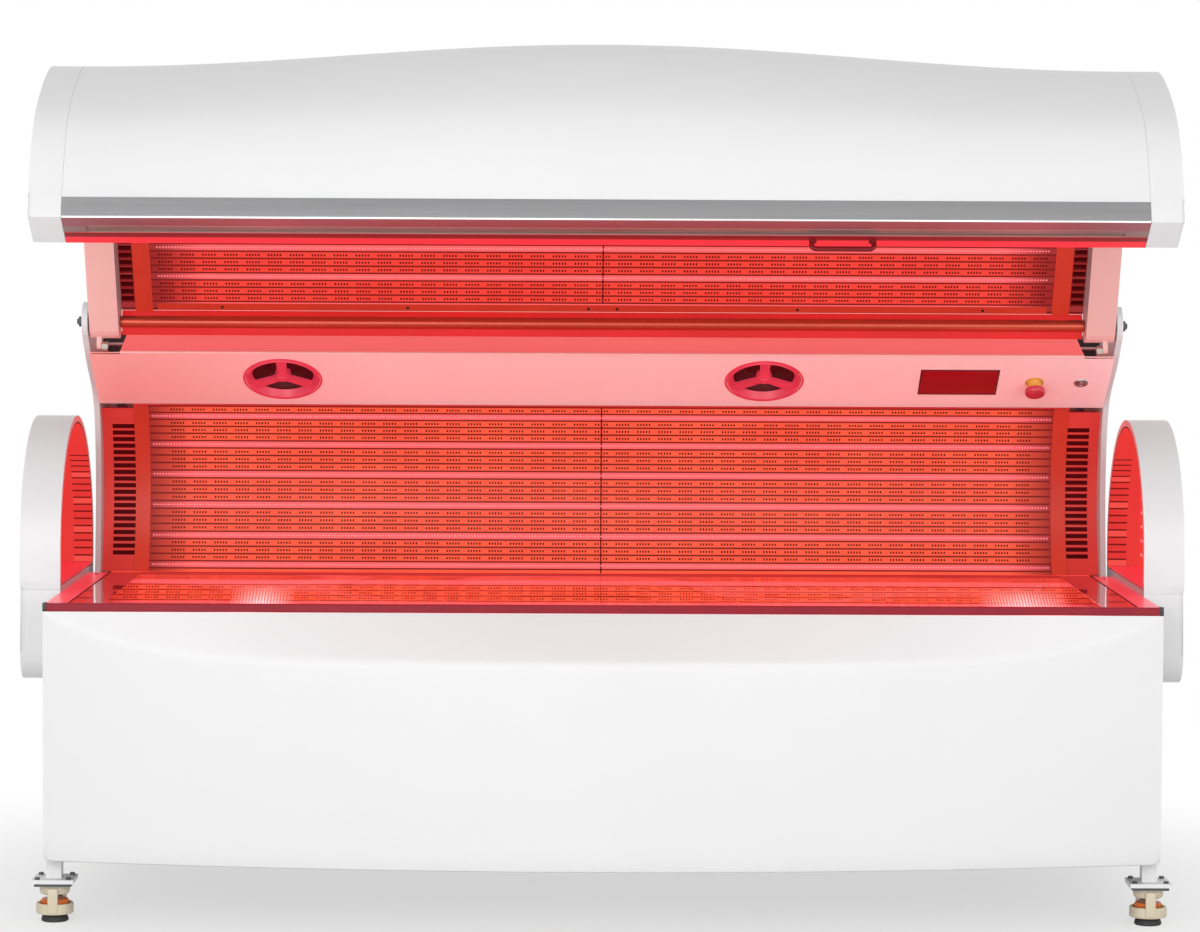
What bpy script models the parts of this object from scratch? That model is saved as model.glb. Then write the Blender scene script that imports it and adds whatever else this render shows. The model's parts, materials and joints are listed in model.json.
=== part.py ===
"""Red light therapy bed with its canopy open, in metres, +Z up, front toward -Y.

Depths in this file are measured back from the straight front edge of the bed and heights from the floor.
An empty named therapy_bed carries every piece and puts the middle of the outline at the origin.
"""
import math

import bmesh
import bpy
from mathutils import Matrix, Vector

# Clearances
GAP = 0.0004            # between pieces that seat on each other
RUN = 0.0005            # around pins, stems and other running fits
CUT_PAST = 0.012        # how far a cutter reaches past a thin sheet
CUT_THROUGH = 0.050     # how far a cutter reaches past a deep piece
MERGE = 1e-6            # points closer than this are one point
EDGE_ROUND = 0.002      # broken edges of small moulded pieces
SHARP_ANGLE = math.radians(35.0)
MITRE_LIMIT = 0.3
ROUND = 24              # facets of large round pieces
ROUND_SMALL = 12        # facets of small round pieces

# Base body
BODY_HALF = 1.1005      # half length of the base between its end faces
SKIN = 0.012            # end panels and side posts
BASE_BOTTOM = 0.127     # lower edge of the skirts
BED_Z = 0.621           # top of the base shell, under the bed rails
BASE_DEPTH = 0.920      # depth of the rear edge of the posts
SHEET = 0.004           # folded sheet metal
POST_OUTER = BODY_HALF - SKIN - GAP
POST_INNER = POST_OUTER - SKIN

# Hinge, which the canopy, the console and the struts are placed from
HINGE_BACK = 0.350      # how far the hinge lies ahead of the rear edge
HINGE_Z = 1.176
HINGE = (BASE_DEPTH - HINGE_BACK, HINGE_Z)


def from_hinge(offset):
    return (HINGE[0] + offset[0], HINGE[1] + offset[1])


# Front panel
PANEL_WALL = 0.008
PANEL_BOW = 0.120       # how far the middle stands ahead of the ends
SCOOP_DROP = 0.085      # how far the scoop line dips at the middle
SCOOP_POWER = 6         # flatness of the scoop line
PANEL_ROWS = 6
PANEL_COLUMNS = 32

# Bed
TRIM_HEIGHT = 0.016
TRIM_DEPTH = 0.0125
RAIL_HEIGHT = 0.012
RAIL_WIDTH = 0.0445
RAIL_INNER = BODY_HALF - RAIL_WIDTH
BED_BACK = 0.178        # how far the rear edge of the acrylic lies ahead of the rear edge of the base
BED_REAR = BASE_DEPTH - BED_BACK
ACRYLIC = 0.006
ACRYLIC_DIP = 0.088     # depth of the lying trough
TRAY_DROP = 0.045       # tray under the acrylic
TRAY_INSET = 0.016
TROUGH_STEPS = 16

# End domes
DOME_WIDTH = 0.082
DOME_FRONT = 0.273
DOME_DIAMETER = 0.555
DOME_RISE = 0.0625      # straight part of the sides above the seam
DOME_LIFT = 0.018       # height of the seam above the top of the base
DOME_SEAM = BED_Z + DOME_LIFT
DOME_WALL = 0.006
DOME_EDGE = 0.014       # rounding of the outer edge
DOME_LINER = 0.003
DOME_BASE_HEIGHT = 0.187
DOME_BASE_BOTTOM = DOME_SEAM - DOME_BASE_HEIGHT
DOME_BASE_ROUND = 0.060
DOME_STEPS = 18
CORNER_STEPS = 6
RIM_SEGMENTS = 3
RIM_ANGLE = math.radians(60.0)

# Console, its points given from the hinge
CONSOLE_TOP_AT = (-0.015, -0.064)
CONSOLE_BOTTOM_AT = (0.165, -0.179)
SHELF_BACK_AT = (0.130, -0.027)
SHELF_FALL = 0.079      # how far the shelf's rear edge lies below the hinge
CONSOLE_TOP = from_hinge(CONSOLE_TOP_AT)
CONSOLE_BOTTOM = from_hinge(CONSOLE_BOTTOM_AT)
SHELF_BACK = from_hinge(SHELF_BACK_AT)
SHELF_REAR_Z = HINGE_Z - SHELF_FALL
NOTCH_SET = 0.003       # openings in the shelf under the arms
NOTCH_FRONT = CONSOLE_TOP[0] + NOTCH_SET
NOTCH_DEEP = 0.004      # how far the openings cut below the console's upper edge
NOTCH_LONG = 0.100
NOTCH_REAR = SHELF_BACK[0] + NOTCH_LONG

# Rear wall and posts
WALL_SET = 0.033
WALL_DEPTH = BED_REAR + WALL_SET    # depth of the wall's edges, its middle lies further back
WALL_HOLLOW = 0.045
WALL_DROP = 0.013
WALL_TOP = CONSOLE_BOTTOM[1] - WALL_DROP
WALL_STEPS = 12
LINER_WIDTH = 0.1011
LED_HALF = POST_INNER - LINER_WIDTH
LED_THICK = 0.012
SLOT_COUNT = 20
SLOT_LENGTH = 0.056
SLOT_HEIGHT = 0.0065
SLOT_MARGIN = 0.038
POST_EAR = 0.041        # round ear of the posts about the hinge
POST_EAR_ARC = (60.0, 223.0)
POST_EAR_STEPS = 10
POST_WAIST = 0.727      # share up the console where the front edge passes behind its face
POST_INSET = 0.011
POST_LEAD = 0.005       # how far the front edge stands ahead of the rear wall
POST_MID = 0.571        # share up from the bed to the console
POST_FOOT = (0.010, 0.040)
POST_CREST = 0.013      # rise of the posts above the shelf
POST_STEPS = 6

# Console fittings: shares of the half length, or distances from the right end
VENT_SHARES = (-0.615, 0.312)
VENT_RADIUS = 0.079
VENT_HUB = 0.014
VENT_SPOKE = 0.012
VENT_SPOKES = 3
SPOKE_FACETS = 8
VENT_RING = 0.010
VENT_PROUD = 0.002
VENT_HUB_PROUD = 0.006
BLOWER_DEPTH = 0.046
BLOWER_FLOOR = 0.050
BLOWER_WALL = 0.004
BLOWER_SPINDLE = 0.010
DISPLAY_FROM_END = 0.320
DISPLAY_SIZE = (0.160, 0.096)
DISPLAY_THICK = 0.008
STOP_FROM_END = 0.159
STOP_RADIUS = 0.020
STOP_COLLAR = 0.0225
STOP_COLLAR_HEIGHT = 0.012
STOP_HEAD_HEIGHT = 0.012
STOP_TAPER = 0.8
STOP_TRAVEL = 0.006
START_FROM_END = 0.060
START_RADIUS = 0.0095
START_BEZEL = 0.0150
START_BEZEL_HEIGHT = 0.003
START_TRAVEL = 0.003
START_PROUD = 0.0015
START_RECESS = 0.002
STEM_RADIUS = 0.006
STEM_DEPTH = 0.010
SWITCH_LIP = 0.003
SWITCH_DEPTH = STEM_DEPTH + STOP_TRAVEL
VENT_X = tuple(share * BODY_HALF for share in VENT_SHARES)
DISPLAY_X = POST_INNER - DISPLAY_FROM_END
STOP_X = POST_INNER - STOP_FROM_END
START_X = POST_INNER - START_FROM_END

# Canopy, in its open pose, its points given from the hinge
CLOSE_ANGLE = math.radians(54.0)
KNEE_AT = (-0.819, 0.216)
RAIL_TOP_AT = (-0.805, 0.254)
RAIL_LOWER_AT = (-0.744, 0.168)
BROW_AT = (-0.700, 0.411)
CROWN_AT = (-0.454, 0.513)
REAR_CROWN_AT = (-0.240, 0.476)
APEX_AT = (-0.094, 0.383)
REAR_FLANK_AT = (0.015, 0.236)
REAR_FOOT_AT = (0.052, 0.071)
TUNNEL_CENTRE_AT = (-0.380, 0.051)
KNEE = from_hinge(KNEE_AT)
RAIL_TOP = from_hinge(RAIL_TOP_AT)
RAIL_LOWER = from_hinge(RAIL_LOWER_AT)
BROW = from_hinge(BROW_AT)
CROWN = from_hinge(CROWN_AT)
REAR_CROWN = from_hinge(REAR_CROWN_AT)
APEX = from_hinge(APEX_AT)
REAR_FLANK = from_hinge(REAR_FLANK_AT)
REAR_FOOT = from_hinge(REAR_FOOT_AT)
TUNNEL_CENTRE = from_hinge(TUNNEL_CENTRE_AT)
CROWN_BULGE = 0.050     # extra rise of the shell at mid length
CROWN_LEAN = 1.15       # moves the rise toward the front
CANOPY_STEPS = 4
SHELL_COLUMNS = 20
SHELL_WALL = 0.006
SHELL_STEP = 0.12       # share of the first row left open over the front rail
CAP_WALL = 0.010
CAP_INSET = 0.0065
CAP_WIDTH = 0.064
CAP_OUTER = BODY_HALF - CAP_INSET
CAP_INNER = CAP_OUTER - CAP_WIDTH
CAP_SPREAD = 42.0
CAP_STEPS = 8
RAIL_WALL = 0.008
ARM_PLAY = 0.0031
ARM_WIDTH = 0.061
ARM_OUTER = POST_INNER - ARM_PLAY
ARM_INNER = ARM_OUTER - ARM_WIDTH
TUNNEL_RADIUS = 0.345   # inner face of the canopy's LED panel
TUNNEL_SPREAD = 68.0    # degrees each side of the top
ARM_TUNNEL = 0.285      # inner edge of the arms
ARM_SPREAD = 65.0
TUNNEL_STEPS = 14
ARM_EYE = 0.035
ARM_EYE_ARC = (30.0, -145.0)
ARM_EYE_STEPS = 10
LED_LEAD = (0.012, 0.008)   # start of the LED panel from the rail's lower edge
LED_TAIL = (0.030, 0.024)   # its end from the hinge
TUBE_RADIUS = 0.0125
PIN_RADIUS = 0.009
PIN_HEAD = 0.015
PIN_HEAD_LENGTH = 0.014
PIN_HEAD_SIDES = 6
PIN_SEAT = 0.015        # blind end of the pin's bore from the arm's inner face
HANDLE_SHARE = 0.409    # of the half length
HANDLE_X = HANDLE_SHARE * BODY_HALF
HANDLE_LENGTH = 0.130
HANDLE_RADIUS = 0.005
HANDLE_DROP = 0.018
HANDLE_STUB = 0.0045
HANDLE_PLACE = 0.80     # share from the knee to the rail's lower edge

# Gas struts
STRUT_X = (ARM_INNER + ARM_OUTER) / 2
STRUT_LEVER = 0.050
STRUT_LEVER_ANGLE = math.radians(260.0)
STRUT_FOOT_AT = (0.320, -0.199)
STRUT_FOOT = from_hinge(STRUT_FOOT_AT)
STRUT_PIN = 0.004
STRUT_SLACK = 0.0037    # the open pivot's play around its pin
STRUT_SHARE = 0.575     # of the lever's rise, where the eye rests off its pin
STRUT_EYE_WALL = 0.003
STRUT_EYE_WIDTH = 0.012
STRUT_CYLINDER = 0.011
STRUT_CYLINDER_LENGTH = 0.230
STRUT_ROD = 0.005
STRUT_FOOT_PIN = 0.005
STRUT_BLIND = 0.033     # closed end of the cylinder's bore from its foot
STRUT_ROOM = 0.080      # room behind the rod when the canopy is open
STRUT_ROOT = 0.001
LUG_THICK = 0.010
LUG_HALF = 0.0085
LUG_ROOT = 0.012

# Frame, legs and casters
TUBE = 0.040
FRAME_Z = 0.162
LEG_TUBE = 0.030
LEG_X = BODY_HALF - LEG_TUBE / 2 - GAP
LEG_FRONT = 0.055
LEG_BACK = 0.120        # how far the rear legs stand ahead of the rear edge
LEG_REAR = BASE_DEPTH - LEG_BACK
FLANGE = 0.082
FLANGE_THICK = 0.008
CASTER_PLATE = 0.073
CASTER_PLATE_THICK = 0.006
CASTER_HEIGHT = 0.079
COLLAR_RADIUS = 0.030
COLLAR_BOTTOM = 0.054
RING_OUTER = 0.037
RING_INNER = 0.031
RING_BOTTOM = 0.016
RING_TOP = 0.037
TAB_WIDTH = 0.020
TAB_PROUD = 0.002
THUMB_RADIUS = 0.0285
THUMB_BOTTOM = 0.034
THUMB_TOP = 0.045
FOOT_RADIUS = 0.027
FOOT_HEIGHT = 0.013
FOOT_TAPER = 0.6
FOOT_STEM = 0.0065
FOOT_STEM_TOP = 0.060
WHEEL_RADIUS = 0.021
WHEEL_WIDTH = 0.018
WHEEL_OFFSET = 0.061
WHEEL_LIFT = 0.0025
AXLE_RADIUS = 0.004
CHEEK = 0.004

# Inside
SUPPLY_SIZE = (0.420, 0.150, 0.120)
SUPPLY_SHARE = -0.409   # of the half length
SUPPLY_X = SUPPLY_SHARE * BODY_HALF
INLET_SIZE = (0.060, 0.014, 0.048)
INLET_SHARE = 0.745
INLET_X = INLET_SHARE * BODY_HALF
INLET_Z = 0.252

REAR_FACE = BASE_DEPTH + GAP + SHEET + GAP + INLET_SIZE[1]
MID_DEPTH = (KNEE[0] + REAR_FACE) / 2

WHITE = ("white_paint", (0.86, 0.86, 0.87), 0.35, 0.0)
CREAM = ("cream_plastic", (0.80, 0.77, 0.68), 0.45, 0.0)
ALUMINIUM = ("aluminium", (0.62, 0.62, 0.63), 0.35, 1.0)
STEEL = ("steel", (0.45, 0.45, 0.46), 0.35, 1.0)
BLACK = ("black_rubber", (0.03, 0.03, 0.03), 0.7, 0.0)
DARK = ("dark_plastic", (0.05, 0.05, 0.06), 0.5, 0.0)
GLASS = ("clear_acrylic", (0.85, 0.55, 0.55), 0.08, 0.0)
LED_BOARD = ("led_board", (0.75, 0.12, 0.06), 0.5, 0.0)
RED = ("red_plastic", (0.65, 0.02, 0.02), 0.35, 0.0)
YELLOW = ("yellow_plastic", (0.90, 0.62, 0.03), 0.4, 0.0)
HANDLE_RED = ("handle_red", (0.25, 0.02, 0.03), 0.4, 0.0)


def clear_scene():
    for item in list(bpy.data.objects):
        bpy.data.objects.remove(item, do_unlink=True)


def collection(name):
    group = bpy.data.collections.new(name)
    bpy.context.scene.collection.children.link(group)
    return group


def material(look):
    name, colour, roughness, metallic = look
    made = bpy.data.materials.get(name)
    if made is None:
        made = bpy.data.materials.new(name)
        made.use_nodes = True
        shader = made.node_tree.nodes["Principled BSDF"]
        shader.inputs["Base Color"].default_value = (*colour, 1.0)
        shader.inputs["Roughness"].default_value = roughness
        shader.inputs["Metallic"].default_value = metallic
    return made


clear_scene()
PARTS = collection("red_light_therapy_bed")
CUTTERS = collection("cutters")
ROOT = bpy.data.objects.new("therapy_bed", None)
PARTS.objects.link(ROOT)
ROOT.location = (0.0, -MID_DEPTH, 0.0)


# Meshes and objects
def mesh_of(bm, name):
    bmesh.ops.recalc_face_normals(bm, faces=bm.faces)
    mesh = bpy.data.meshes.new(name)
    bm.to_mesh(mesh)
    bm.free()
    return mesh


def add(name, mesh, look, origin=(0.0, 0.0, 0.0)):
    """Make a named piece whose object origin sits at the given point of the bed."""
    mesh.transform(Matrix.Translation(-Vector(origin)))
    piece = bpy.data.objects.new(name, mesh)
    PARTS.objects.link(piece)
    piece.parent = ROOT
    piece.location = origin
    mesh.materials.append(material(look))
    mesh.shade_smooth()
    mesh.set_sharp_from_angle(angle=SHARP_ANGLE)
    return piece


def cutter(mesh):
    tool = bpy.data.objects.new("cutter", mesh)
    CUTTERS.objects.link(tool)
    tool.parent = ROOT
    tool.hide_render = True
    tool.display_type = "WIRE"
    return tool


def combine(piece, mesh, operation):
    step = piece.modifiers.new(operation.lower(), "BOOLEAN")
    step.operation = operation
    step.solver = "EXACT"
    step.object = cutter(mesh)


def cut(piece, mesh):
    combine(piece, mesh, "DIFFERENCE")


def join(piece, mesh):
    combine(piece, mesh, "UNION")


def box(x0, x1, y0, y1, z0, z1, bevel=0.0, segments=2):
    bm = bmesh.new()
    bmesh.ops.create_cube(bm, size=1.0)
    size = Matrix.Diagonal((x1 - x0, y1 - y0, z1 - z0, 1.0))
    place = Matrix.Translation(((x0 + x1) / 2, (y0 + y1) / 2, (z0 + z1) / 2))
    bmesh.ops.transform(bm, matrix=place @ size, verts=bm.verts)
    if bevel > 0.0:
        bmesh.ops.bevel(bm, geom=bm.edges[:], offset=bevel, segments=segments, profile=0.5,
                        affect="EDGES")
    return mesh_of(bm, "box")


def frame_along(direction):
    """Rotation that turns local Z to the given direction."""
    return Vector(direction).to_track_quat("Z", "Y").to_matrix().to_4x4()


def rod(start, end, radius, facets=ROUND_SMALL, end_radius=None):
    """Solid round bar, or a cone, from one point to another."""
    start, end = Vector(start), Vector(end)
    bm = bmesh.new()
    tip = radius if end_radius is None else end_radius
    bmesh.ops.create_cone(bm, cap_ends=True, segments=facets, radius1=radius, radius2=tip,
                          depth=(end - start).length)
    place = Matrix.Translation((start + end) / 2) @ frame_along(end - start)
    bmesh.ops.transform(bm, matrix=place, verts=bm.verts)
    return mesh_of(bm, "rod")


def turned(profile, centre, direction, facets=ROUND_SMALL):
    """Solid of revolution: profile of (radius, height) up the axis, closed on the axis at both ends."""
    bm = bmesh.new()
    points = [bm.verts.new((radius, 0.0, height)) for radius, height in profile]
    edges = [bm.edges.new(pair) for pair in zip(points, points[1:])]
    bmesh.ops.spin(bm, geom=points + edges, cent=(0, 0, 0), axis=(0, 0, 1), angle=2 * math.pi,
                   steps=facets, use_merge=True)
    bmesh.ops.remove_doubles(bm, verts=bm.verts, dist=MERGE)
    place = Matrix.Translation(centre) @ frame_along(direction)
    bmesh.ops.transform(bm, matrix=place, verts=bm.verts)
    return mesh_of(bm, "turned")


def prism(outline, x0, x1):
    """Side outline of (depth, height) points extruded along X."""
    curve = bpy.data.curves.new("outline", "CURVE")
    curve.dimensions = "2D"
    curve.fill_mode = "BOTH"
    curve.extrude = (x1 - x0) / 2
    spline = curve.splines.new("POLY")
    spline.points.add(len(outline) - 1)
    for point, (depth, height) in zip(spline.points, outline):
        point.co = (depth, height, 0.0, 1.0)
    spline.use_cyclic_u = True
    drawn = bpy.data.objects.new("outline", curve)
    CUTTERS.objects.link(drawn)
    graph = bpy.context.evaluated_depsgraph_get()
    graph.update()
    mesh = bpy.data.meshes.new_from_object(drawn.evaluated_get(graph))
    bpy.data.objects.remove(drawn, do_unlink=True)
    bm = bmesh.new()
    bm.from_mesh(mesh)
    bmesh.ops.remove_doubles(bm, verts=bm.verts, dist=MERGE)
    turn = Matrix(((0, 0, 1, 0), (1, 0, 0, 0), (0, 1, 0, 0), (0, 0, 0, 1)))
    bmesh.ops.transform(bm, matrix=Matrix.Translation(((x0 + x1) / 2, 0, 0)) @ turn, verts=bm.verts)
    return mesh_of(bm, "prism")


def surface(columns, rows, place):
    """Open grid whose points are placed by a function of two shares from 0 to 1."""
    bm = bmesh.new()
    bmesh.ops.create_grid(bm, x_segments=columns, y_segments=rows, size=0.5)
    for vertex in bm.verts:
        vertex.co = place(vertex.co.x + 0.5, vertex.co.y + 0.5)
    mesh = bpy.data.meshes.new("surface")
    bm.to_mesh(mesh)
    bm.free()
    return mesh


def solidify(piece, thickness, offset):
    wall = piece.modifiers.new("wall", "SOLIDIFY")
    wall.thickness = thickness
    wall.offset = offset
    wall.use_even_offset = True


# Side outlines
def arc(centre, radius, first, last, steps):
    """Points on a circle between two angles in degrees."""
    points = []
    for step in range(steps + 1):
        angle = math.radians(first + (last - first) * step / steps)
        points.append((centre[0] + radius * math.cos(angle), centre[1] + radius * math.sin(angle)))
    return points


def smooth(keys, steps):
    """Catmull-Rom curve through key points."""
    ends = [keys[0]] + list(keys) + [keys[-1]]
    points = []
    for a, b, c, d in zip(ends, ends[1:], ends[2:], ends[3:]):
        for step in range(steps):
            t = step / steps
            points.append(tuple(
                0.5 * (2 * b[i] + (c[i] - a[i]) * t + (2 * a[i] - 5 * b[i] + 4 * c[i] - d[i]) * t ** 2
                       + (3 * b[i] - a[i] - 3 * c[i] + d[i]) * t ** 3) for i in (0, 1)))
    points.append(tuple(keys[-1]))
    return points


def offset_path(path, distance):
    """Open path moved sideways, to its right where the distance is positive."""
    moved = []
    for index, point in enumerate(path):
        before = Vector(path[max(index - 1, 0)])
        here = Vector(point)
        after = Vector(path[min(index + 1, len(path) - 1)])
        incoming = (here - before).normalized() if index > 0 else (after - here).normalized()
        outgoing = (after - here).normalized() if index < len(path) - 1 else incoming
        right_in = Vector((incoming.y, -incoming.x))
        right_out = Vector((outgoing.y, -outgoing.x))
        mitre = (right_in + right_out).normalized()
        moved.append(tuple(here + mitre * (distance / max(mitre.dot(right_in), MITRE_LIMIT))))
    return moved


def band(path, thickness):
    """Closed outline of a sheet that follows a path, its thickness to the right of the path."""
    return list(path) + offset_path(path, thickness)[::-1]


def tombstone(inset, bottom):
    """Round-topped outline of the end domes."""
    radius = DOME_DIAMETER / 2 - inset
    centre = (DOME_FRONT + DOME_DIAMETER / 2, DOME_SEAM + GAP + DOME_RISE)
    crown = arc(centre, radius, 0, 180, DOME_STEPS)
    return [(centre[0] + radius, bottom)] + crown + [(centre[0] - radius, bottom)]


def sides():
    return (("left", -1), ("right", 1))


def span(side, inner, outer):
    """X limits of a piece that lies between two distances from the middle, on one side."""
    return (inner, outer) if side > 0 else (-outer, -inner)


# Base
def build_base_frame():
    front = LEG_FRONT - TUBE / 2
    rear = LEG_REAR + TUBE / 2
    outer = POST_OUTER
    top = FRAME_Z + TUBE
    frame = add("base_frame", box(-outer, outer, front, front + TUBE, FRAME_Z, top), WHITE)
    join(frame, box(-outer, outer, rear - TUBE, rear, FRAME_Z, top))
    for name, side in sides():
        join(frame, box(*span(side, outer - TUBE, outer), front, BASE_DEPTH, FRAME_Z, top))
    join(frame, box(-TUBE / 2, TUBE / 2, front, rear, FRAME_Z, top))
    for x, depth in leg_places():
        join(frame, box(x - LEG_TUBE / 2, x + LEG_TUBE / 2, depth - LEG_TUBE / 2, depth + LEG_TUBE / 2,
                        CASTER_HEIGHT, FRAME_Z + TUBE / 2))
        for half, low, high in ((FLANGE / 2, CASTER_HEIGHT, CASTER_HEIGHT + FLANGE_THICK),
                                (CASTER_PLATE / 2, CASTER_HEIGHT - CASTER_PLATE_THICK,
                                 CASTER_HEIGHT + FLANGE_THICK / 2)):
            join(frame, box(x - half, x + half, depth - half, depth + half, low, high))


def leg_places():
    return [(side * LEG_X, depth) for depth in (LEG_FRONT, LEG_REAR) for name, side in sides()]


def build_front_panel():
    half = BODY_HALF
    rows = PANEL_ROWS

    def place(across, up):
        x = half * (2 * across - 1)
        share = abs(x) / half
        bow = PANEL_BOW * (1 - share ** 2)
        line = BED_Z - GAP - SCOOP_DROP * (1 - share ** SCOOP_POWER) - PANEL_WALL / 2
        row = round(up * rows)
        if row == rows:
            return (x, 0.0, BED_Z - GAP)
        return (x, -bow, BASE_BOTTOM + (line - BASE_BOTTOM) * row / (rows - 1))

    panel = add("front_panel", surface(PANEL_COLUMNS, rows, place), WHITE)
    solidify(panel, PANEL_WALL, 1.0 if panel.data.polygons[0].normal.y > 0 else -1.0)


def build_end_panels():
    for name, side in sides():
        x0, x1 = span(side, BODY_HALF - SKIN, BODY_HALF)
        sheet = box(x0, x1, PANEL_WALL + 2 * GAP, BASE_DEPTH, BASE_BOTTOM, BED_Z - GAP)
        panel = add(f"end_panel_{name}", sheet, WHITE)
        half = LEG_TUBE / 2 + GAP
        for depth in (LEG_FRONT, LEG_REAR):
            cut(panel, box(x0 - SKIN, x1 + SKIN, depth - half, depth + half, 0.0, FRAME_Z + TUBE / 2 + GAP))


def build_rear_panel():
    half = BODY_HALF
    front = BASE_DEPTH + GAP
    add("rear_panel", box(-half, half, front, front + SHEET, BASE_BOTTOM, SHELF_REAR_Z), WHITE)


def trough_circle(inset, top, dip):
    """Half width, centre and radius of a trough whose edges lie at a height, inset from the bed's edges."""
    front, rear = TRIM_DEPTH + GAP + inset, BED_REAR - inset
    half = (rear - front) / 2
    radius = (half ** 2 + dip ** 2) / (2 * dip)
    return half, ((front + rear) / 2, top - dip + radius), radius


def trough(inset, top, dip):
    """Lying trough from front to rear, as an arc of a circle."""
    half, centre, radius = trough_circle(inset, top, dip)
    spread = math.degrees(math.asin(half / radius))
    return arc(centre, radius, 270 - spread, 270 + spread, TROUGH_STEPS)


def build_bed():
    trim_top = BED_Z + TRIM_HEIGHT
    add("bed_front_trim", box(-BODY_HALF, BODY_HALF, 0.0, TRIM_DEPTH, BED_Z, trim_top, EDGE_ROUND), GLASS)
    for name, side in sides():
        x0, x1 = span(side, RAIL_INNER, BODY_HALF)
        add(f"bed_rail_{name}", box(x0, x1, TRIM_DEPTH + GAP, BED_REAR, BED_Z, BED_Z + RAIL_HEIGHT), WHITE)
    inner = RAIL_INNER - GAP
    underside = BED_Z + RAIL_HEIGHT - ACRYLIC
    add("bed_acrylic", prism(band(trough(0.0, underside, ACRYLIC_DIP), -ACRYLIC), -inner, inner), GLASS)
    half, centre, radius = trough_circle(0.0, underside, ACRYLIC_DIP)
    rim = centre[1] - math.sqrt(radius ** 2 - (half - TRAY_INSET) ** 2) - SHEET - 2 * GAP
    tray = band(trough(TRAY_INSET, rim, ACRYLIC_DIP + TRAY_DROP), -SHEET)
    add("lower_led_tray", prism(tray, -POST_OUTER, POST_OUTER), LED_BOARD)


def build_domes():
    inner = BODY_HALF + GAP
    outer = inner + DOME_WIDTH
    seam = DOME_SEAM + GAP
    for name, side in sides():
        x0, x1 = span(side, inner, outer)
        dome = add(f"dome_{name}", round_rim(prism(tombstone(0.0, seam), x0, x1), side * outer, seam), WHITE)
        hollow = span(side, inner - DOME_WIDTH, outer - DOME_WALL - DOME_EDGE / 2)
        cut(dome, prism(tombstone(DOME_WALL + DOME_EDGE / 2, seam + DOME_WALL), *hollow))
        room = DOME_WALL + DOME_EDGE / 2 + GAP
        floor = seam + DOME_WALL + GAP
        liner = add(f"dome_led_liner_{name}",
                    prism(tombstone(room, floor), *span(side, inner, outer - room)), LED_BOARD)
        well = span(side, inner - DOME_WIDTH, outer - room - DOME_LINER)
        cut(liner, prism(tombstone(room + DOME_LINER, floor + DOME_LINER), *well))

        block = round_rim(prism(dome_base_outline(0.0), x0, x1), side * outer, DOME_SEAM)
        base = add(f"dome_base_{name}", block, WHITE)
        pocket = span(side, inner - DOME_WIDTH, outer - DOME_WALL - DOME_EDGE / 2)
        cut(base, prism(dome_base_outline(DOME_WALL + DOME_EDGE / 2), *pocket))


def round_rim(mesh, x, seam):
    """Round the outer edge of a dome piece, but not its straight edge along the seam."""
    bm = bmesh.new()
    bm.from_mesh(mesh)
    rim = []
    for edge in bm.edges:
        on_rim = all(abs(vertex.co.x - x) < GAP for vertex in edge.verts)
        on_seam = all(abs(vertex.co.z - seam) < GAP / 4 for vertex in edge.verts)
        if on_rim and not on_seam and edge.calc_face_angle(0.0) > RIM_ANGLE:
            rim.append(edge)
    bmesh.ops.bevel(bm, geom=rim, offset=DOME_EDGE, segments=RIM_SEGMENTS, profile=0.5, affect="EDGES")
    return mesh_of(bm, "rounded")


def dome_base_outline(inset):
    low = DOME_BASE_BOTTOM + inset
    high = DOME_SEAM - inset
    front = DOME_FRONT + inset
    rear = DOME_FRONT + DOME_DIAMETER - inset
    radius = DOME_BASE_ROUND - inset
    return ([(rear, high), (front, high)]
            + arc((front + radius, low + radius), radius, 180, 270, CORNER_STEPS)
            + arc((rear - radius, low + radius), radius, 270, 360, CORNER_STEPS))


# Rear wall and console
def wall_path():
    """Front face of the rear wall, from the console down to the bed, hollowed to the rear."""
    low = BED_Z + RAIL_HEIGHT + 2 * GAP
    half = (WALL_TOP - low) / 2
    radius = (half ** 2 + WALL_HOLLOW ** 2) / (2 * WALL_HOLLOW)
    spread = math.degrees(math.asin(half / radius))
    centre = (WALL_DEPTH + WALL_HOLLOW - radius, low + half)
    return arc(centre, radius, spread, -spread, WALL_STEPS)


def build_posts():
    foot = FRAME_Z + TUBE + GAP
    ear = arc(HINGE, POST_EAR, *POST_EAR_ARC, POST_EAR_STEPS)
    waist = console_point(0.0, POST_WAIST, -POST_INSET)[1:]
    middle = (WALL_DEPTH - POST_LEAD, BED_Z + POST_MID * (CONSOLE_BOTTOM[1] - BED_Z))
    low = (BED_REAR + POST_FOOT[0], BED_Z + POST_FOOT[1])
    front_edge = smooth((ear[-1], waist, CONSOLE_BOTTOM, middle, low), POST_STEPS)
    rear = BED_REAR + 2 * GAP
    outline = (ear[:-1] + front_edge
               + [(rear, BED_Z), (rear, foot), (BASE_DEPTH, foot), (BASE_DEPTH, SHELF_REAR_Z),
                  (NOTCH_REAR, SHELF_BACK[1] + POST_CREST)])
    for name, side in sides():
        x0, x1 = span(side, POST_INNER, POST_OUTER)
        post = add(f"side_post_{name}", prism(outline, x0, x1), WHITE)
        reach = side * (POST_OUTER + SKIN)
        cut(post, rod((side * (POST_INNER - SKIN), *HINGE), (reach, *HINGE), PIN_RADIUS + RUN))
        inner_tip = side * (STRUT_X - STRUT_EYE_WIDTH / 2)
        join(post, rod((side * (POST_INNER + SKIN / 2), *STRUT_FOOT), (inner_tip, *STRUT_FOOT),
                       STRUT_FOOT_PIN))


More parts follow.
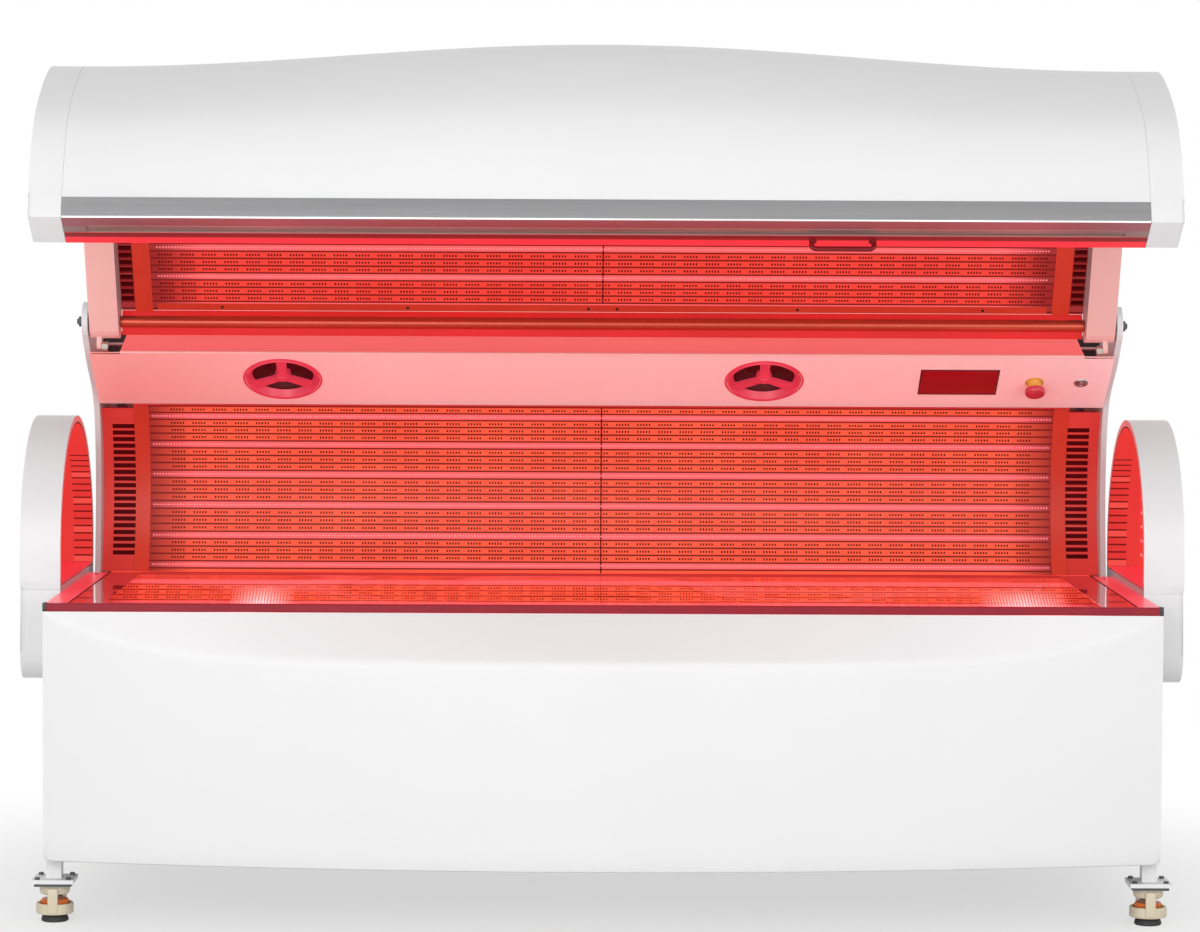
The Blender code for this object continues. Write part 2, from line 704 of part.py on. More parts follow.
def build_wall():
    path = wall_path()
    add("rear_led_panel", prism(band(path[::-1], LED_THICK), -LED_HALF, LED_HALF), LED_BOARD)
    inner = LED_HALF + GAP
    outer = POST_INNER - GAP
    top = path[0][1] - SLOT_MARGIN
    bottom = path[-1][1] + SLOT_MARGIN
    middle = (inner + outer) / 2
    for name, side in sides():
        liner = add(f"side_liner_{name}", prism(band(path[::-1], SHEET), *span(side, inner, outer)), WHITE)
        for index in range(SLOT_COUNT):
            height = bottom + (top - bottom) * index / (SLOT_COUNT - 1)
            x0, x1 = span(side, middle - SLOT_LENGTH / 2, middle + SLOT_LENGTH / 2)
            cut(liner, box(x0, x1, WALL_DEPTH - WALL_HOLLOW, BASE_DEPTH, height - SLOT_HEIGHT / 2,
                           height + SLOT_HEIGHT / 2))


def console_point(x, share, lift=0.0):
    """Point on the console's slope: share up from its lower edge, lifted off its face."""
    low, high = Vector(CONSOLE_BOTTOM), Vector(CONSOLE_TOP)
    point = low.lerp(high, share)
    normal = console_normal()
    return (x, point.x + normal[1] * lift, point.y + normal[2] * lift)


def console_normal():
    low, high = Vector(CONSOLE_BOTTOM), Vector(CONSOLE_TOP)
    along = (high - low).normalized()
    return (0.0, -along.y, along.x)


def build_console():
    half = POST_INNER - GAP
    path = [CONSOLE_BOTTOM, CONSOLE_TOP, SHELF_BACK, (BASE_DEPTH, SHELF_REAR_Z)]
    panel = add("console_panel", prism(band(path, SHEET), -half, half), WHITE)
    for name, side in sides():
        x0, x1 = span(side, ARM_INNER - GAP, half + SKIN)
        low, high = CONSOLE_TOP[1] - NOTCH_DEEP, SHELF_BACK[1] + CUT_PAST
        cut(panel, box(x0, x1, NOTCH_FRONT, NOTCH_REAR, low, high))
    return panel


def plug(x, lift_from, lift_to, radius, facets=ROUND_SMALL):
    return rod(console_point(x, 0.5, lift_from), console_point(x, 0.5, lift_to), radius, facets)


def build_vents(panel):
    normal = console_normal()
    back = -SHEET - GAP
    seat = back - VENT_RING
    face = VENT_RADIUS - 2 * RUN
    for (name, side), x in zip(sides(), VENT_X):
        centre = console_point(x, 0.5)
        cut(panel, plug(x, -CUT_PAST, CUT_PAST, VENT_RADIUS, ROUND))
        blower = add(f"blower_{name}", turned(blower_profile(seat, back, 0.0), centre, normal, ROUND), DARK)
        cut(blower, turned(blower_profile(seat, CUT_THROUGH, BLOWER_WALL), centre, normal, ROUND))
        join(blower, plug(x, -BLOWER_DEPTH + BLOWER_WALL / 2, seat - VENT_RING - RUN, BLOWER_SPINDLE))
        nozzle = add(f"vent_nozzle_{name}", plug(x, seat + RUN, VENT_PROUD, face, ROUND), WHITE, centre)
        cut(nozzle, plug(x, -CUT_THROUGH, CUT_THROUGH, face - VENT_RING, ROUND))
        middle = Vector(console_point(x, 0.5, (seat + VENT_PROUD) / 2))
        up = console_frame().to_3x3() @ Vector((0.0, 1.0, 0.0))
        for spoke in range(VENT_SPOKES):
            turn = Matrix.Rotation(2 * math.pi * spoke / VENT_SPOKES, 3, Vector(normal))
            reach = middle + (turn @ up) * (face - VENT_RING / 2)
            join(nozzle, rod(middle, reach, VENT_SPOKE / 2, SPOKE_FACETS))
        join(nozzle, plug(x, seat - VENT_RING, VENT_HUB_PROUD, VENT_HUB))


def blower_profile(seat, top, inset):
    """Cup behind a vent: a short round rim on a cone, drawn from its floor up."""
    rim = VENT_RADIUS + BLOWER_WALL + RUN - inset
    floor = BLOWER_FLOOR - inset
    return ((0.0, -BLOWER_DEPTH + inset), (floor, -BLOWER_DEPTH + inset), (rim, seat - BLOWER_WALL + inset),
            (rim, top), (0.0, top))


def build_display(panel):
    width, height = DISPLAY_SIZE
    centre = Vector(console_point(DISPLAY_X, 0.5, -SHEET / 2))
    place = Matrix.Translation(centre) @ console_frame()

    def block(grow, thick):
        mesh = box(-width / 2 - grow, width / 2 + grow, -height / 2 - grow, height / 2 + grow,
                   -thick / 2, thick / 2)
        mesh.transform(place)
        return mesh

    cut(panel, block(GAP, 4 * DISPLAY_THICK))
    add("display_screen", block(0.0, DISPLAY_THICK), DARK)


def console_frame():
    """Local X along the bed, local Y up the slope, local Z out of the console's face."""
    normal = Vector(console_normal())
    across = Vector((1.0, 0.0, 0.0))
    up = normal.cross(across)
    return Matrix((across, up, normal)).transposed().to_4x4()


def build_switches(panel):
    normal = console_normal()
    back = -SHEET - GAP
    bore = STEM_RADIUS + RUN

    for name, x, radius, height in (("estop_collar", STOP_X, STOP_COLLAR, STOP_COLLAR_HEIGHT),
                                    ("start_bezel", START_X, START_BEZEL, START_BEZEL_HEIGHT)):
        neck = radius - SWITCH_LIP
        cut(panel, plug(x, -CUT_PAST, CUT_PAST, neck + GAP))
        collar = add(name, plug(x, GAP, height, radius), YELLOW if name == "estop_collar" else STEEL)
        join(collar, plug(x, back - SWITCH_DEPTH, height / 2, neck))
        cut(collar, plug(x, -CUT_THROUGH, CUT_THROUGH, bore))
        if name == "start_bezel":
            cut(collar, plug(x, -START_TRAVEL - START_RECESS, CUT_PAST, START_RADIUS + RUN))

    narrow = STOP_RADIUS * STOP_TAPER
    head = add("estop_head", turned(
        ((0.0, 0.0), (narrow, 0.0), (STOP_RADIUS, STOP_HEAD_HEIGHT / 4),
         (STOP_RADIUS, STOP_HEAD_HEIGHT / 2), (narrow, STOP_HEAD_HEIGHT - EDGE_ROUND),
         (0.0, STOP_HEAD_HEIGHT)),
        console_point(STOP_X, 0.5, STOP_COLLAR_HEIGHT + STOP_TRAVEL + RUN), normal), RED,
        console_point(STOP_X, 0.5, STOP_COLLAR_HEIGHT))
    stem_top = STOP_COLLAR_HEIGHT + STOP_TRAVEL + STOP_HEAD_HEIGHT / 3
    join(head, plug(STOP_X, back - STEM_DEPTH, stem_top, STEM_RADIUS))

    disc = plug(START_X, START_PROUD, START_BEZEL_HEIGHT + START_PROUD, START_RADIUS)
    cap = add("start_button", disc, STEEL, console_point(START_X, 0.5, START_BEZEL_HEIGHT))
    join(cap, plug(START_X, back - STEM_DEPTH, START_PROUD + RUN, STEM_RADIUS))


# Canopy
def outer_path(first, last):
    keys = (RAIL_TOP, BROW, CROWN, REAR_CROWN, APEX, REAR_FLANK, REAR_FOOT)
    path = smooth(keys, CANOPY_STEPS)
    return path[first * CANOPY_STEPS:last * CANOPY_STEPS + 1]


def tunnel_path(radius, spread, steps=TUNNEL_STEPS):
    return arc(TUNNEL_CENTRE, radius, 90 + spread, 90 - spread, steps)


def build_canopy_shell():
    half = CAP_INNER - GAP
    path = outer_path(0, 6)
    path[0] = tuple(Vector(path[0]).lerp(Vector(path[1]), SHELL_STEP))
    rows = len(path) - 1

    def place(across, along):
        x = half * (2 * across - 1)
        depth, height = path[round(along * rows)]
        swell = math.cos(math.pi / 2 * x / half) ** 2 * math.sin(math.pi * min(along * CROWN_LEAN, 1.0))
        return (x, depth, height + CROWN_BULGE * swell)

    shell = add("canopy_shell", surface(SHELL_COLUMNS, rows, place), WHITE)
    solidify(shell, SHELL_WALL, -1.0 if shell.data.polygons[0].normal.y < 0 else 1.0)


def build_end_caps():
    rim = [RAIL_LOWER, KNEE] + outer_path(0, 4)
    plate = rim + tunnel_path(ARM_TUNNEL, CAP_SPREAD, CAP_STEPS)[::-1]
    for name, side in sides():
        cap = add(f"canopy_end_cap_{name}", prism(band(rim, CAP_WALL), *span(side, CAP_INNER, CAP_OUTER)),
                  WHITE)
        join(cap, prism(plate, *span(side, CAP_OUTER - CAP_WALL, CAP_OUTER)))


def build_front_rail():
    path = [RAIL_LOWER, KNEE, RAIL_TOP]
    half = CAP_INNER - GAP
    add("canopy_front_rail", prism(band(path, RAIL_WALL), -half, half), ALUMINIUM)


def arm_outline():
    inset = CAP_WALL + GAP
    outer = offset_path([RAIL_LOWER, KNEE] + outer_path(0, 6), inset)
    inner = tunnel_path(ARM_TUNNEL, ARM_SPREAD)[::-1]
    eye = arc(HINGE, ARM_EYE, *ARM_EYE_ARC, ARM_EYE_STEPS)
    return outer[2:] + eye + inner


def build_arms():
    outline = arm_outline()
    for name, side in sides():
        x0, x1 = span(side, ARM_INNER, ARM_OUTER)
        arm = add(f"canopy_arm_{name}", prism(outline, x0, x1), WHITE, (0.0, *HINGE))
        lug_inner = STRUT_X + STRUT_EYE_WIDTH / 2 + 2 * RUN
        lug = span(side, lug_inner, lug_inner + LUG_THICK)
        tip = lever_tip()
        join(arm, rod((lug[0], *tip), (lug[1], *tip), LUG_HALF))
        join(arm, lug_web(lug, tip))
        pin_tip = side * (STRUT_X - STRUT_EYE_WIDTH / 2)
        join(arm, rod((side * (lug_inner + LUG_THICK / 2), *tip), (pin_tip, *tip), STRUT_PIN))
        cut(arm, rod((side * (ARM_INNER + PIN_SEAT), *HINGE), (side * (ARM_OUTER + SKIN), *HINGE),
                     PIN_RADIUS + RUN))


def lug_web(lug, tip):
    """Plate between the arm's eye and the strut pin."""
    down = (Vector(tip) - Vector(HINGE)).normalized()
    across = Vector((-down.y, down.x)) * LUG_HALF
    top = Vector(HINGE) + down * (ARM_EYE - LUG_ROOT)
    foot = Vector(tip)
    outline = [tuple(top + across), tuple(foot + across), tuple(foot - across), tuple(top - across)]
    return prism(outline, *lug)


def lever_tip():
    return (HINGE[0] + STRUT_LEVER * math.cos(STRUT_LEVER_ANGLE),
            HINGE[1] + STRUT_LEVER * math.sin(STRUT_LEVER_ANGLE))


def build_hinge():
    length = ARM_INNER - GAP
    add("hinge_tube", rod((-length, *HINGE), (length, *HINGE), TUBE_RADIUS), ALUMINIUM, (0.0, *HINGE))
    for name, side in sides():
        tail = side * (ARM_INNER + PIN_SEAT + GAP)
        head = side * (POST_OUTER + GAP)
        shank = rod((tail, *HINGE), (head + side * PIN_HEAD_LENGTH / 2, *HINGE), PIN_RADIUS)
        pin = add(f"hinge_pin_{name}", shank, STEEL, (0.0, *HINGE))
        join(pin, rod((head, *HINGE), (head + side * PIN_HEAD_LENGTH, *HINGE), PIN_HEAD, PIN_HEAD_SIDES))


def build_canopy_led():
    path = [(RAIL_LOWER[0] + LED_LEAD[0], RAIL_LOWER[1] + LED_LEAD[1])]
    path += tunnel_path(TUNNEL_RADIUS, TUNNEL_SPREAD)
    path.append((HINGE[0] + LED_TAIL[0], HINGE[1] + LED_TAIL[1]))
    half = ARM_INNER - GAP
    add("canopy_led_panel", prism(band(path, -LED_THICK), -half, half), LED_BOARD)


def build_handle():
    """Bar on two stubs under the lower face of the front rail."""
    slope = (Vector(RAIL_LOWER) - Vector(KNEE)).normalized()
    out = Vector((slope.y, -slope.x))
    seat = Vector(KNEE).lerp(Vector(RAIL_LOWER), HANDLE_PLACE)
    bar = seat + out * HANDLE_DROP
    foot = seat + out * GAP
    half = HANDLE_LENGTH / 2
    grip = rod((HANDLE_X - half, *bar), (HANDLE_X + half, *bar), HANDLE_RADIUS)
    handle = add("canopy_handle", grip, HANDLE_RED)
    for sign in (-1, 1):
        x = HANDLE_X + sign * (half - 2 * HANDLE_RADIUS)
        join(handle, rod((x, *foot), (x, *bar), HANDLE_STUB))


# Gas struts
def strut_eye():
    """Rest place of the rod's eye, set off its pin so that the play is shared over the stroke."""
    rise = STRUT_LEVER * (1 - math.cos(CLOSE_ANGLE / 2))
    middle = STRUT_LEVER_ANGLE + CLOSE_ANGLE / 2
    tip = lever_tip()
    return (tip[0] + STRUT_SHARE * rise * math.cos(middle), tip[1] + STRUT_SHARE * rise * math.sin(middle))


def build_struts():
    eye = Vector(strut_eye())
    foot = Vector(STRUT_FOOT)
    along = (eye - foot).normalized()
    bore = STRUT_PIN + STRUT_SLACK
    half = STRUT_EYE_WIDTH / 2
    open_end = foot + along * STRUT_CYLINDER_LENGTH
    for name, side in sides():
        x = side * STRUT_X

        def at(point):
            return (x, point.x, point.y)

        foot_bore = STRUT_FOOT_PIN + RUN
        cylinder = add(f"strut_cylinder_{name}",
                       rod(at(foot + along * (foot_bore + STRUT_ROOT)), at(open_end), STRUT_CYLINDER), STEEL,
                       at(foot))
        join(cylinder, rod((x - half, *foot), (x + half, *foot), STRUT_CYLINDER))
        cut(cylinder, rod((x - 3 * half, *foot), (x + 3 * half, *foot), foot_bore))
        blind = foot + along * STRUT_BLIND
        cut(cylinder, rod(at(blind), at(open_end + along * CUT_THROUGH), STRUT_ROD + RUN))

        rod_tail = blind + along * STRUT_ROOM
        rod_end = eye - along * (bore + STRUT_ROOT)
        piston = add(f"strut_rod_{name}", rod(at(rod_tail), at(rod_end), STRUT_ROD), STEEL, at(eye))
        join(piston, rod((x - half, *eye), (x + half, *eye), bore + STRUT_EYE_WALL))
        cut(piston, rod((x - 3 * half, *eye), (x + 3 * half, *eye), bore))


# Casters
def build_casters():
    names = ("front_left", "front_right", "rear_left", "rear_right")
    for name, (x, depth) in zip(names, leg_places()):
        build_caster(name, x, depth)


def build_caster(name, x, depth):
    axis = Vector((x, depth, 0.0))
    top = CASTER_HEIGHT - CASTER_PLATE_THICK - GAP

    def upright(low, high, radius, facets=ROUND_SMALL):
        return rod(axis + Vector((0, 0, low)), axis + Vector((0, 0, high)), radius, facets)

    body = add(f"caster_body_{name}", upright(COLLAR_BOTTOM - SHEET / 2, top, COLLAR_RADIUS), CREAM,
               (x, depth, COLLAR_BOTTOM))
    join(body, upright(RING_BOTTOM, RING_TOP, RING_OUTER))
    tab_front = depth - RING_OUTER - TAB_PROUD
    join(body, box(x - TAB_WIDTH / 2, x + TAB_WIDTH / 2, tab_front, depth - RING_INNER / 2,
                   RING_BOTTOM + SHEET / 2, top - SHEET))
    cheek_inner = WHEEL_WIDTH / 2 + 2 * RUN
    axle_depth = depth + WHEEL_OFFSET
    axle_z = WHEEL_RADIUS + WHEEL_LIFT
    for sign in (-1, 1):
        x0, x1 = sorted((x + sign * cheek_inner, x + sign * (cheek_inner + CHEEK)))
        join(body, box(x0, x1, depth + RING_INNER / 2, axle_depth + 2 * AXLE_RADIUS, axle_z - 2 * AXLE_RADIUS,
                       top - SHEET))
    join(body, box(x - cheek_inner - CHEEK / 2, x + cheek_inner + CHEEK / 2, depth + RING_INNER / 3,
                   axle_depth + AXLE_RADIUS, COLLAR_BOTTOM + SHEET / 2, top - 1.5 * SHEET))
    cut(body, upright(-SHEET, COLLAR_BOTTOM, RING_INNER))
    cut(body, upright(-SHEET, top - SHEET / 2, FOOT_STEM + RUN))
    wheel_axis = Vector((x, axle_depth, axle_z))
    reach = Vector((cheek_inner + CHEEK, 0, 0))
    cut(body, rod(wheel_axis - 2 * reach, wheel_axis + 2 * reach, AXLE_RADIUS + RUN))

    half = Vector((WHEEL_WIDTH / 2, 0, 0))
    wheel = add(f"caster_wheel_{name}", rod(wheel_axis - half, wheel_axis + half, WHEEL_RADIUS, ROUND), BLACK,
                wheel_axis)
    join(wheel, rod(wheel_axis - reach, wheel_axis + reach, AXLE_RADIUS))

    add(f"levelling_foot_{name}", turned(
        ((0.0, 0.0), (FOOT_RADIUS, 0.0), (FOOT_RADIUS, FOOT_HEIGHT * FOOT_TAPER),
         (FOOT_RADIUS * FOOT_TAPER, FOOT_HEIGHT), (FOOT_STEM, FOOT_HEIGHT), (FOOT_STEM, THUMB_BOTTOM),
         (THUMB_RADIUS, THUMB_BOTTOM),
         (THUMB_RADIUS, THUMB_TOP), (FOOT_STEM, THUMB_TOP), (FOOT_STEM, FOOT_STEM_TOP),
         (0.0, FOOT_STEM_TOP)), axis, (0, 0, 1)), BLACK, axis)


# Inside
def build_inside():
    width, depth, height = SUPPLY_SIZE
    low = FRAME_Z + TUBE + GAP
    front = LEG_REAR - depth / 2
    case = box(SUPPLY_X - width / 2, SUPPLY_X + width / 2, front, front + depth, low, low + height)
    add("power_supply", case, STEEL)
    width, depth, height = INLET_SIZE
    front = BASE_DEPTH + GAP + SHEET + GAP
    add("mains_inlet", box(INLET_X - width / 2, INLET_X + width / 2, front, front + depth,
                           INLET_Z - height / 2, INLET_Z + height / 2, EDGE_ROUND), DARK)


def build():
    build_base_frame()
    build_front_panel()
    build_end_panels()
    build_rear_panel()
    build_bed()
    build_domes()
    build_posts()
    build_wall()
    panel = build_console()
    build_vents(panel)
    build_display(panel)
    build_switches(panel)
    build_canopy_shell()
    build_end_caps()
    build_front_rail()
    build_arms()
    build_hinge()
    build_canopy_led()
    build_handle()
    build_struts()
    build_casters()
    build_inside()


build()
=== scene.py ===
# %% [markdown]
# # A red light therapy bed
# The real bed is a white clamshell: a bowed base on levelling casters, a clear lying sheet over red lamps,
# half round lamp domes at both ends, and a hinged canopy lined with more lamps. The solids of its parts are
# already packed as a frame, in metres. This lesson dresses them: some solids stay and get a better finish,
# others are replaced by smoother pieces of the same size that ride on the same moving bodies.

# %% Load the frame
import json
import math
import bmesh
import bpy
from mathutils import Matrix, Vector


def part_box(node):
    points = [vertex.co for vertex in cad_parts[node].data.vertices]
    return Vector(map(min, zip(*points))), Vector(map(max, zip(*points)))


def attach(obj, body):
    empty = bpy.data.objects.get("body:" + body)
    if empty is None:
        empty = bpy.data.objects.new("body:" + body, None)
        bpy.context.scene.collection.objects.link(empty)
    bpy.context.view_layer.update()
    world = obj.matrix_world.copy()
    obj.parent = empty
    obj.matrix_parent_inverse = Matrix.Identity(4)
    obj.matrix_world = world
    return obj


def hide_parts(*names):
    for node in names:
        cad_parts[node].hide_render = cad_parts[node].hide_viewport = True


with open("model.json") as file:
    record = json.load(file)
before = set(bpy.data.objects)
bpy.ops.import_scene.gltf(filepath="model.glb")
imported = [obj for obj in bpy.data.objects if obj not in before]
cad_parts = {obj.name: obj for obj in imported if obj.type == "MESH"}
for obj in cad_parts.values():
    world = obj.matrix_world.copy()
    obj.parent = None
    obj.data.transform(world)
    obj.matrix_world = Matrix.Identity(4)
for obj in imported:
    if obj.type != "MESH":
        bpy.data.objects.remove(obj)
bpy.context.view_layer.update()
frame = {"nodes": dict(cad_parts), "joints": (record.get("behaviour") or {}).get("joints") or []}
nodes = frame["nodes"]
scene = bpy.context.scene
hinge = Vector(next(j["pos_m"] for j in frame["joints"] if j["name"] == "canopy_lift"))
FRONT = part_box("bed_front_trim")[0].y
SIDES = (("left", -1), ("right", 1))
print("loaded", len(nodes), "solids, hinge at", [round(v, 4) for v in hinge])

# %% [markdown]
# ## Camera
# The eye was found by matching corners of the bed with where they lie in the picture. It could be turned
# with three angles, but the small roll is easier to read when the three axes of the camera are written out.

# %% Camera
LENS = 117.75
EYE = Vector((-0.0666, -8.0168, 1.3709))
YAW, PITCH, ROLL = (math.radians(a) for a in (0.4330, 3.4285, 0.2781))
look = Vector((math.sin(YAW) * math.cos(PITCH), math.cos(YAW) * math.cos(PITCH), -math.sin(PITCH)))
level = Vector((math.cos(YAW), -math.sin(YAW), 0.0))
upright = level.cross(look)
across_view = level * math.cos(ROLL) + upright * math.sin(ROLL)
up_view = upright * math.cos(ROLL) - level * math.sin(ROLL)
camera = bpy.data.objects.new("camera", bpy.data.cameras.new("camera"))
camera.data.lens = LENS
camera.data.clip_end = 200.0
camera.matrix_world = Matrix.Translation(EYE) @ Matrix((across_view, up_view, -look)).transposed().to_4x4()
scene.collection.objects.link(camera)
scene.camera = camera
scene.view_settings.view_transform = "Standard"
print("camera looks along", [round(v, 4) for v in look])

# %% [markdown]
# ## Small tools for nodes
# A material is a tree of nodes. Making a node and filling its inputs with numbers, colours or the outputs
# of other nodes is always the same work, so these functions do it, and every finish below can be short.

# %% Node helpers
BLACK = (0.0, 0.0, 0.0)


def feed(tree, socket, value):
    """Gives a socket a number, a colour or the output of another node."""
    if hasattr(value, "is_output"):
        tree.links.new(value, socket)
    else:
        socket.default_value = (*value, 1.0) if socket.type == "RGBA" else value


def fill(tree, node, **values):
    for label, value in values.items():
        feed(tree, node.inputs[label.replace("_", " ")], value)


def add_node(tree, kind, **values):
    node = tree.nodes.new(kind)
    fill(tree, node, **values)
    return node


def sums(tree, operation, *values):
    """One Math node; each value is a number or the output of another node."""
    node = tree.nodes.new("ShaderNodeMath")
    node.operation = operation
    for socket, value in zip(node.inputs, values):
        feed(tree, socket, value)
    return node.outputs[0]


def ramp(tree, value, start, length):
    """Goes from 0 at the start to 1 a length further on, and stays within those."""
    part = sums(tree, "DIVIDE", sums(tree, "SUBTRACT", value, start), length)
    return sums(tree, "MINIMUM", sums(tree, "MAXIMUM", part, 0.0), 1.0)


def blend(tree, share, first, second, mode="MIX"):
    node = tree.nodes.new("ShaderNodeMix")
    node.data_type = "RGBA"
    node.blend_type = mode
    for index, value in ((0, share), (6, first), (7, second)):
        feed(tree, node.inputs[index], value)
    return node.outputs[2]


def noise(tree, vector, scale, detail=4.0):
    return add_node(tree, "ShaderNodeTexNoise", Vector=vector, Scale=scale, Detail=detail).outputs["Fac"]


def wandering(tree, vector, scale, amount, least):
    """A cloud that starts at a least value and adds up to an amount."""
    return sums(tree, "MULTIPLY_ADD", noise(tree, vector, scale), amount, least)


def own_place(tree):
    return tree.nodes.new("ShaderNodeTexCoord").outputs["Object"]


def metres(tree):
    """The measure across and along that a sheet carries as its UV map."""
    layout = tree.nodes.new("ShaderNodeUVMap")
    layout.uv_map = "metres"
    return layout.outputs["UV"]


def xyz(tree, vector):
    return add_node(tree, "ShaderNodeSeparateXYZ", Vector=vector).outputs


def normal_parts(tree):
    return xyz(tree, tree.nodes.new("ShaderNodeNewGeometry").outputs["Normal"])


def seen_directly(tree):
    """1 for rays from the camera, from a gloss or through glass, 0 for the light that falls on things."""
    path = tree.nodes.new("ShaderNodeLightPath").outputs
    seen = sums(tree, "MAXIMUM", path["Is Camera Ray"], path["Is Glossy Ray"])
    return sums(tree, "MAXIMUM", seen, path["Is Transmission Ray"])


def held_back(tree, light, cast):
    """Light that is seen in full, but falls on other things only by a share."""
    shown = sums(tree, "MULTIPLY_ADD", seen_directly(tree), 1.0 - cast, cast)
    return blend(tree, 1.0, light, shown, "MULTIPLY")


def new_paint(name):
    paint = bpy.data.materials.new(name)
    paint.use_nodes = True
    return paint, paint.node_tree, paint.node_tree.nodes["Principled BSDF"]


def mix_shaders(tree, share, first, second, end):
    mixed = add_node(tree, "ShaderNodeMixShader", Fac=share)
    for shader, socket in ((first, mixed.inputs[1]), (second, mixed.inputs[2]),
                           (mixed, tree.nodes[end].inputs[0])):
        tree.links.new(shader.outputs[0], socket)


print("node helpers ready")

# %% [markdown]
# ## Floor and light
# A product picture on white needs a floor that keeps the soft shadow near the bed and fades to white
# further off. The floor's own material does that with its distance from the bed, and only for rays that
# come from the camera or from a mirror, so no extra light reaches the bed.

# %% Floor, world and lamps
SHADOW_REACH, WHITE_FROM, SHADOW_LIFT, FLOOR_HALF = 1.0, 2.1, 0.62, 60.0
WORLD_LIGHT, AIM = 0.46, Vector((0.0, 0.0, 0.9))


def make_floor():
    mesh = bpy.data.meshes.new("floor")
    corners = ((-1, -1), (1, -1), (1, 1), (-1, 1))
    mesh.from_pydata([(a * FLOOR_HALF, b * FLOOR_HALF, 0.0) for a, b in corners], [], [(0, 1, 2, 3)])
    floor = bpy.data.objects.new("floor", mesh)
    scene.collection.objects.link(floor)
    paint, tree, shader = new_paint("studio_floor")
    fill(tree, shader, Base_Color=(0.92, 0.92, 0.92), Roughness=0.9, Specular_IOR_Level=0.0)
    distance = add_node(tree, "ShaderNodeVectorMath", Vector=own_place(tree))
    distance.operation = "LENGTH"
    fade = add_node(tree, "ShaderNodeMapRange", Value=distance.outputs["Value"], From_Min=SHADOW_REACH,
                    From_Max=WHITE_FROM, To_Min=SHADOW_LIFT)
    fade.interpolation_type = "SMOOTHSTEP"
    share = sums(tree, "MULTIPLY", fade.outputs["Result"], seen_directly(tree))
    mix_shaders(tree, share, shader, tree.nodes.new("ShaderNodeEmission"), "Material Output")
    mesh.materials.append(paint)


def make_world():
    world = bpy.data.worlds.new("studio")
    scene.world = world
    world.use_nodes = True
    tree = world.node_tree
    fill(tree, tree.nodes["Background"], Color=(1.0, 1.0, 1.0), Strength=WORLD_LIGHT)
    white = add_node(tree, "ShaderNodeBackground", Color=(1.0, 1.0, 1.0))
    mix_shaders(tree, seen_directly(tree), tree.nodes["Background"], white, "World Output")


def soft_lamp(name, place, watts, size):
    lamp = bpy.data.lights.new(name, "AREA")
    lamp.energy = watts
    lamp.shape = "SQUARE"
    lamp.size = size
    holder = bpy.data.objects.new(name, lamp)
    holder.visible_camera = False
    turn = (AIM - Vector(place)).to_track_quat("-Z", "Y").to_matrix().to_4x4()
    holder.matrix_world = Matrix.Translation(place) @ turn
    scene.collection.objects.link(holder)


make_floor()
make_world()
soft_lamp("key", (-2.2, -6.6, 2.1), 182.0, 4.4)
soft_lamp("fill", (3.0, -6.2, 1.7), 124.0, 4.4)
soft_lamp("top", (0.0, 1.0, 6.0), 8.0, 4.0)
print("floor, world and three soft lamps are set")

# %% [markdown]
# ## Shared surface effects
# Real surfaces are never one flat colour: paint has a faint unevenness, metal has brush lines, and dust
# settles on what faces up. Each effect is a node group, so that every finish can use it with its own
# values.

# %% Shader node groups
HIDDEN_MARK = -9.0


def new_group(name, inputs, outputs):
    tree = bpy.data.node_groups.new(name, "ShaderNodeTree")
    for label, kind in inputs:
        tree.interface.new_socket(label, in_out="INPUT", socket_type="NodeSocket" + kind)
    for label, kind in outputs:
        tree.interface.new_socket(label, in_out="OUTPUT", socket_type="NodeSocket" + kind)
    return tree, tree.nodes.new("NodeGroupInput").outputs, tree.nodes.new("NodeGroupOutput")


def make_grain_group():
    tree, into, out = new_group(
        "uneven_surface",
        (("Vector", "Vector"), ("Colour", "Color"), ("Shade", "Color"), ("Scale", "Float"),
         ("Roughness", "Float"), ("Spread", "Float")),
        (("Colour", "Color"), ("Roughness", "Float"), ("Height", "Float")))
    cloud = noise(tree, into["Vector"], into["Scale"])
    fine = noise(tree, into["Vector"], sums(tree, "MULTIPLY", into["Scale"], 14.0), 2.0)
    both = sums(tree, "MULTIPLY_ADD", cloud, 0.6, sums(tree, "MULTIPLY", fine, 0.4))
    centred = sums(tree, "SUBTRACT", both, 0.5)
    fill(tree, out, Colour=blend(tree, cloud, into["Colour"], into["Shade"]),
         Roughness=sums(tree, "MULTIPLY_ADD", centred, into["Spread"], into["Roughness"]), Height=fine)
    return tree


def make_dust_group():
    tree, into, out = new_group(
        "settled_dust", (("Vector", "Vector"), ("Colour", "Color"), ("Dust", "Color"), ("Amount", "Float")),
        (("Colour", "Color"),))
    upward = ramp(tree, normal_parts(tree)["Z"], 0.5, 0.5)
    share = sums(tree, "MULTIPLY", upward, noise(tree, into["Vector"], 9.0))
    share = sums(tree, "MULTIPLY", share, into["Amount"])
    fill(tree, out, Colour=blend(tree, share, into["Colour"], into["Dust"]))
    return tree


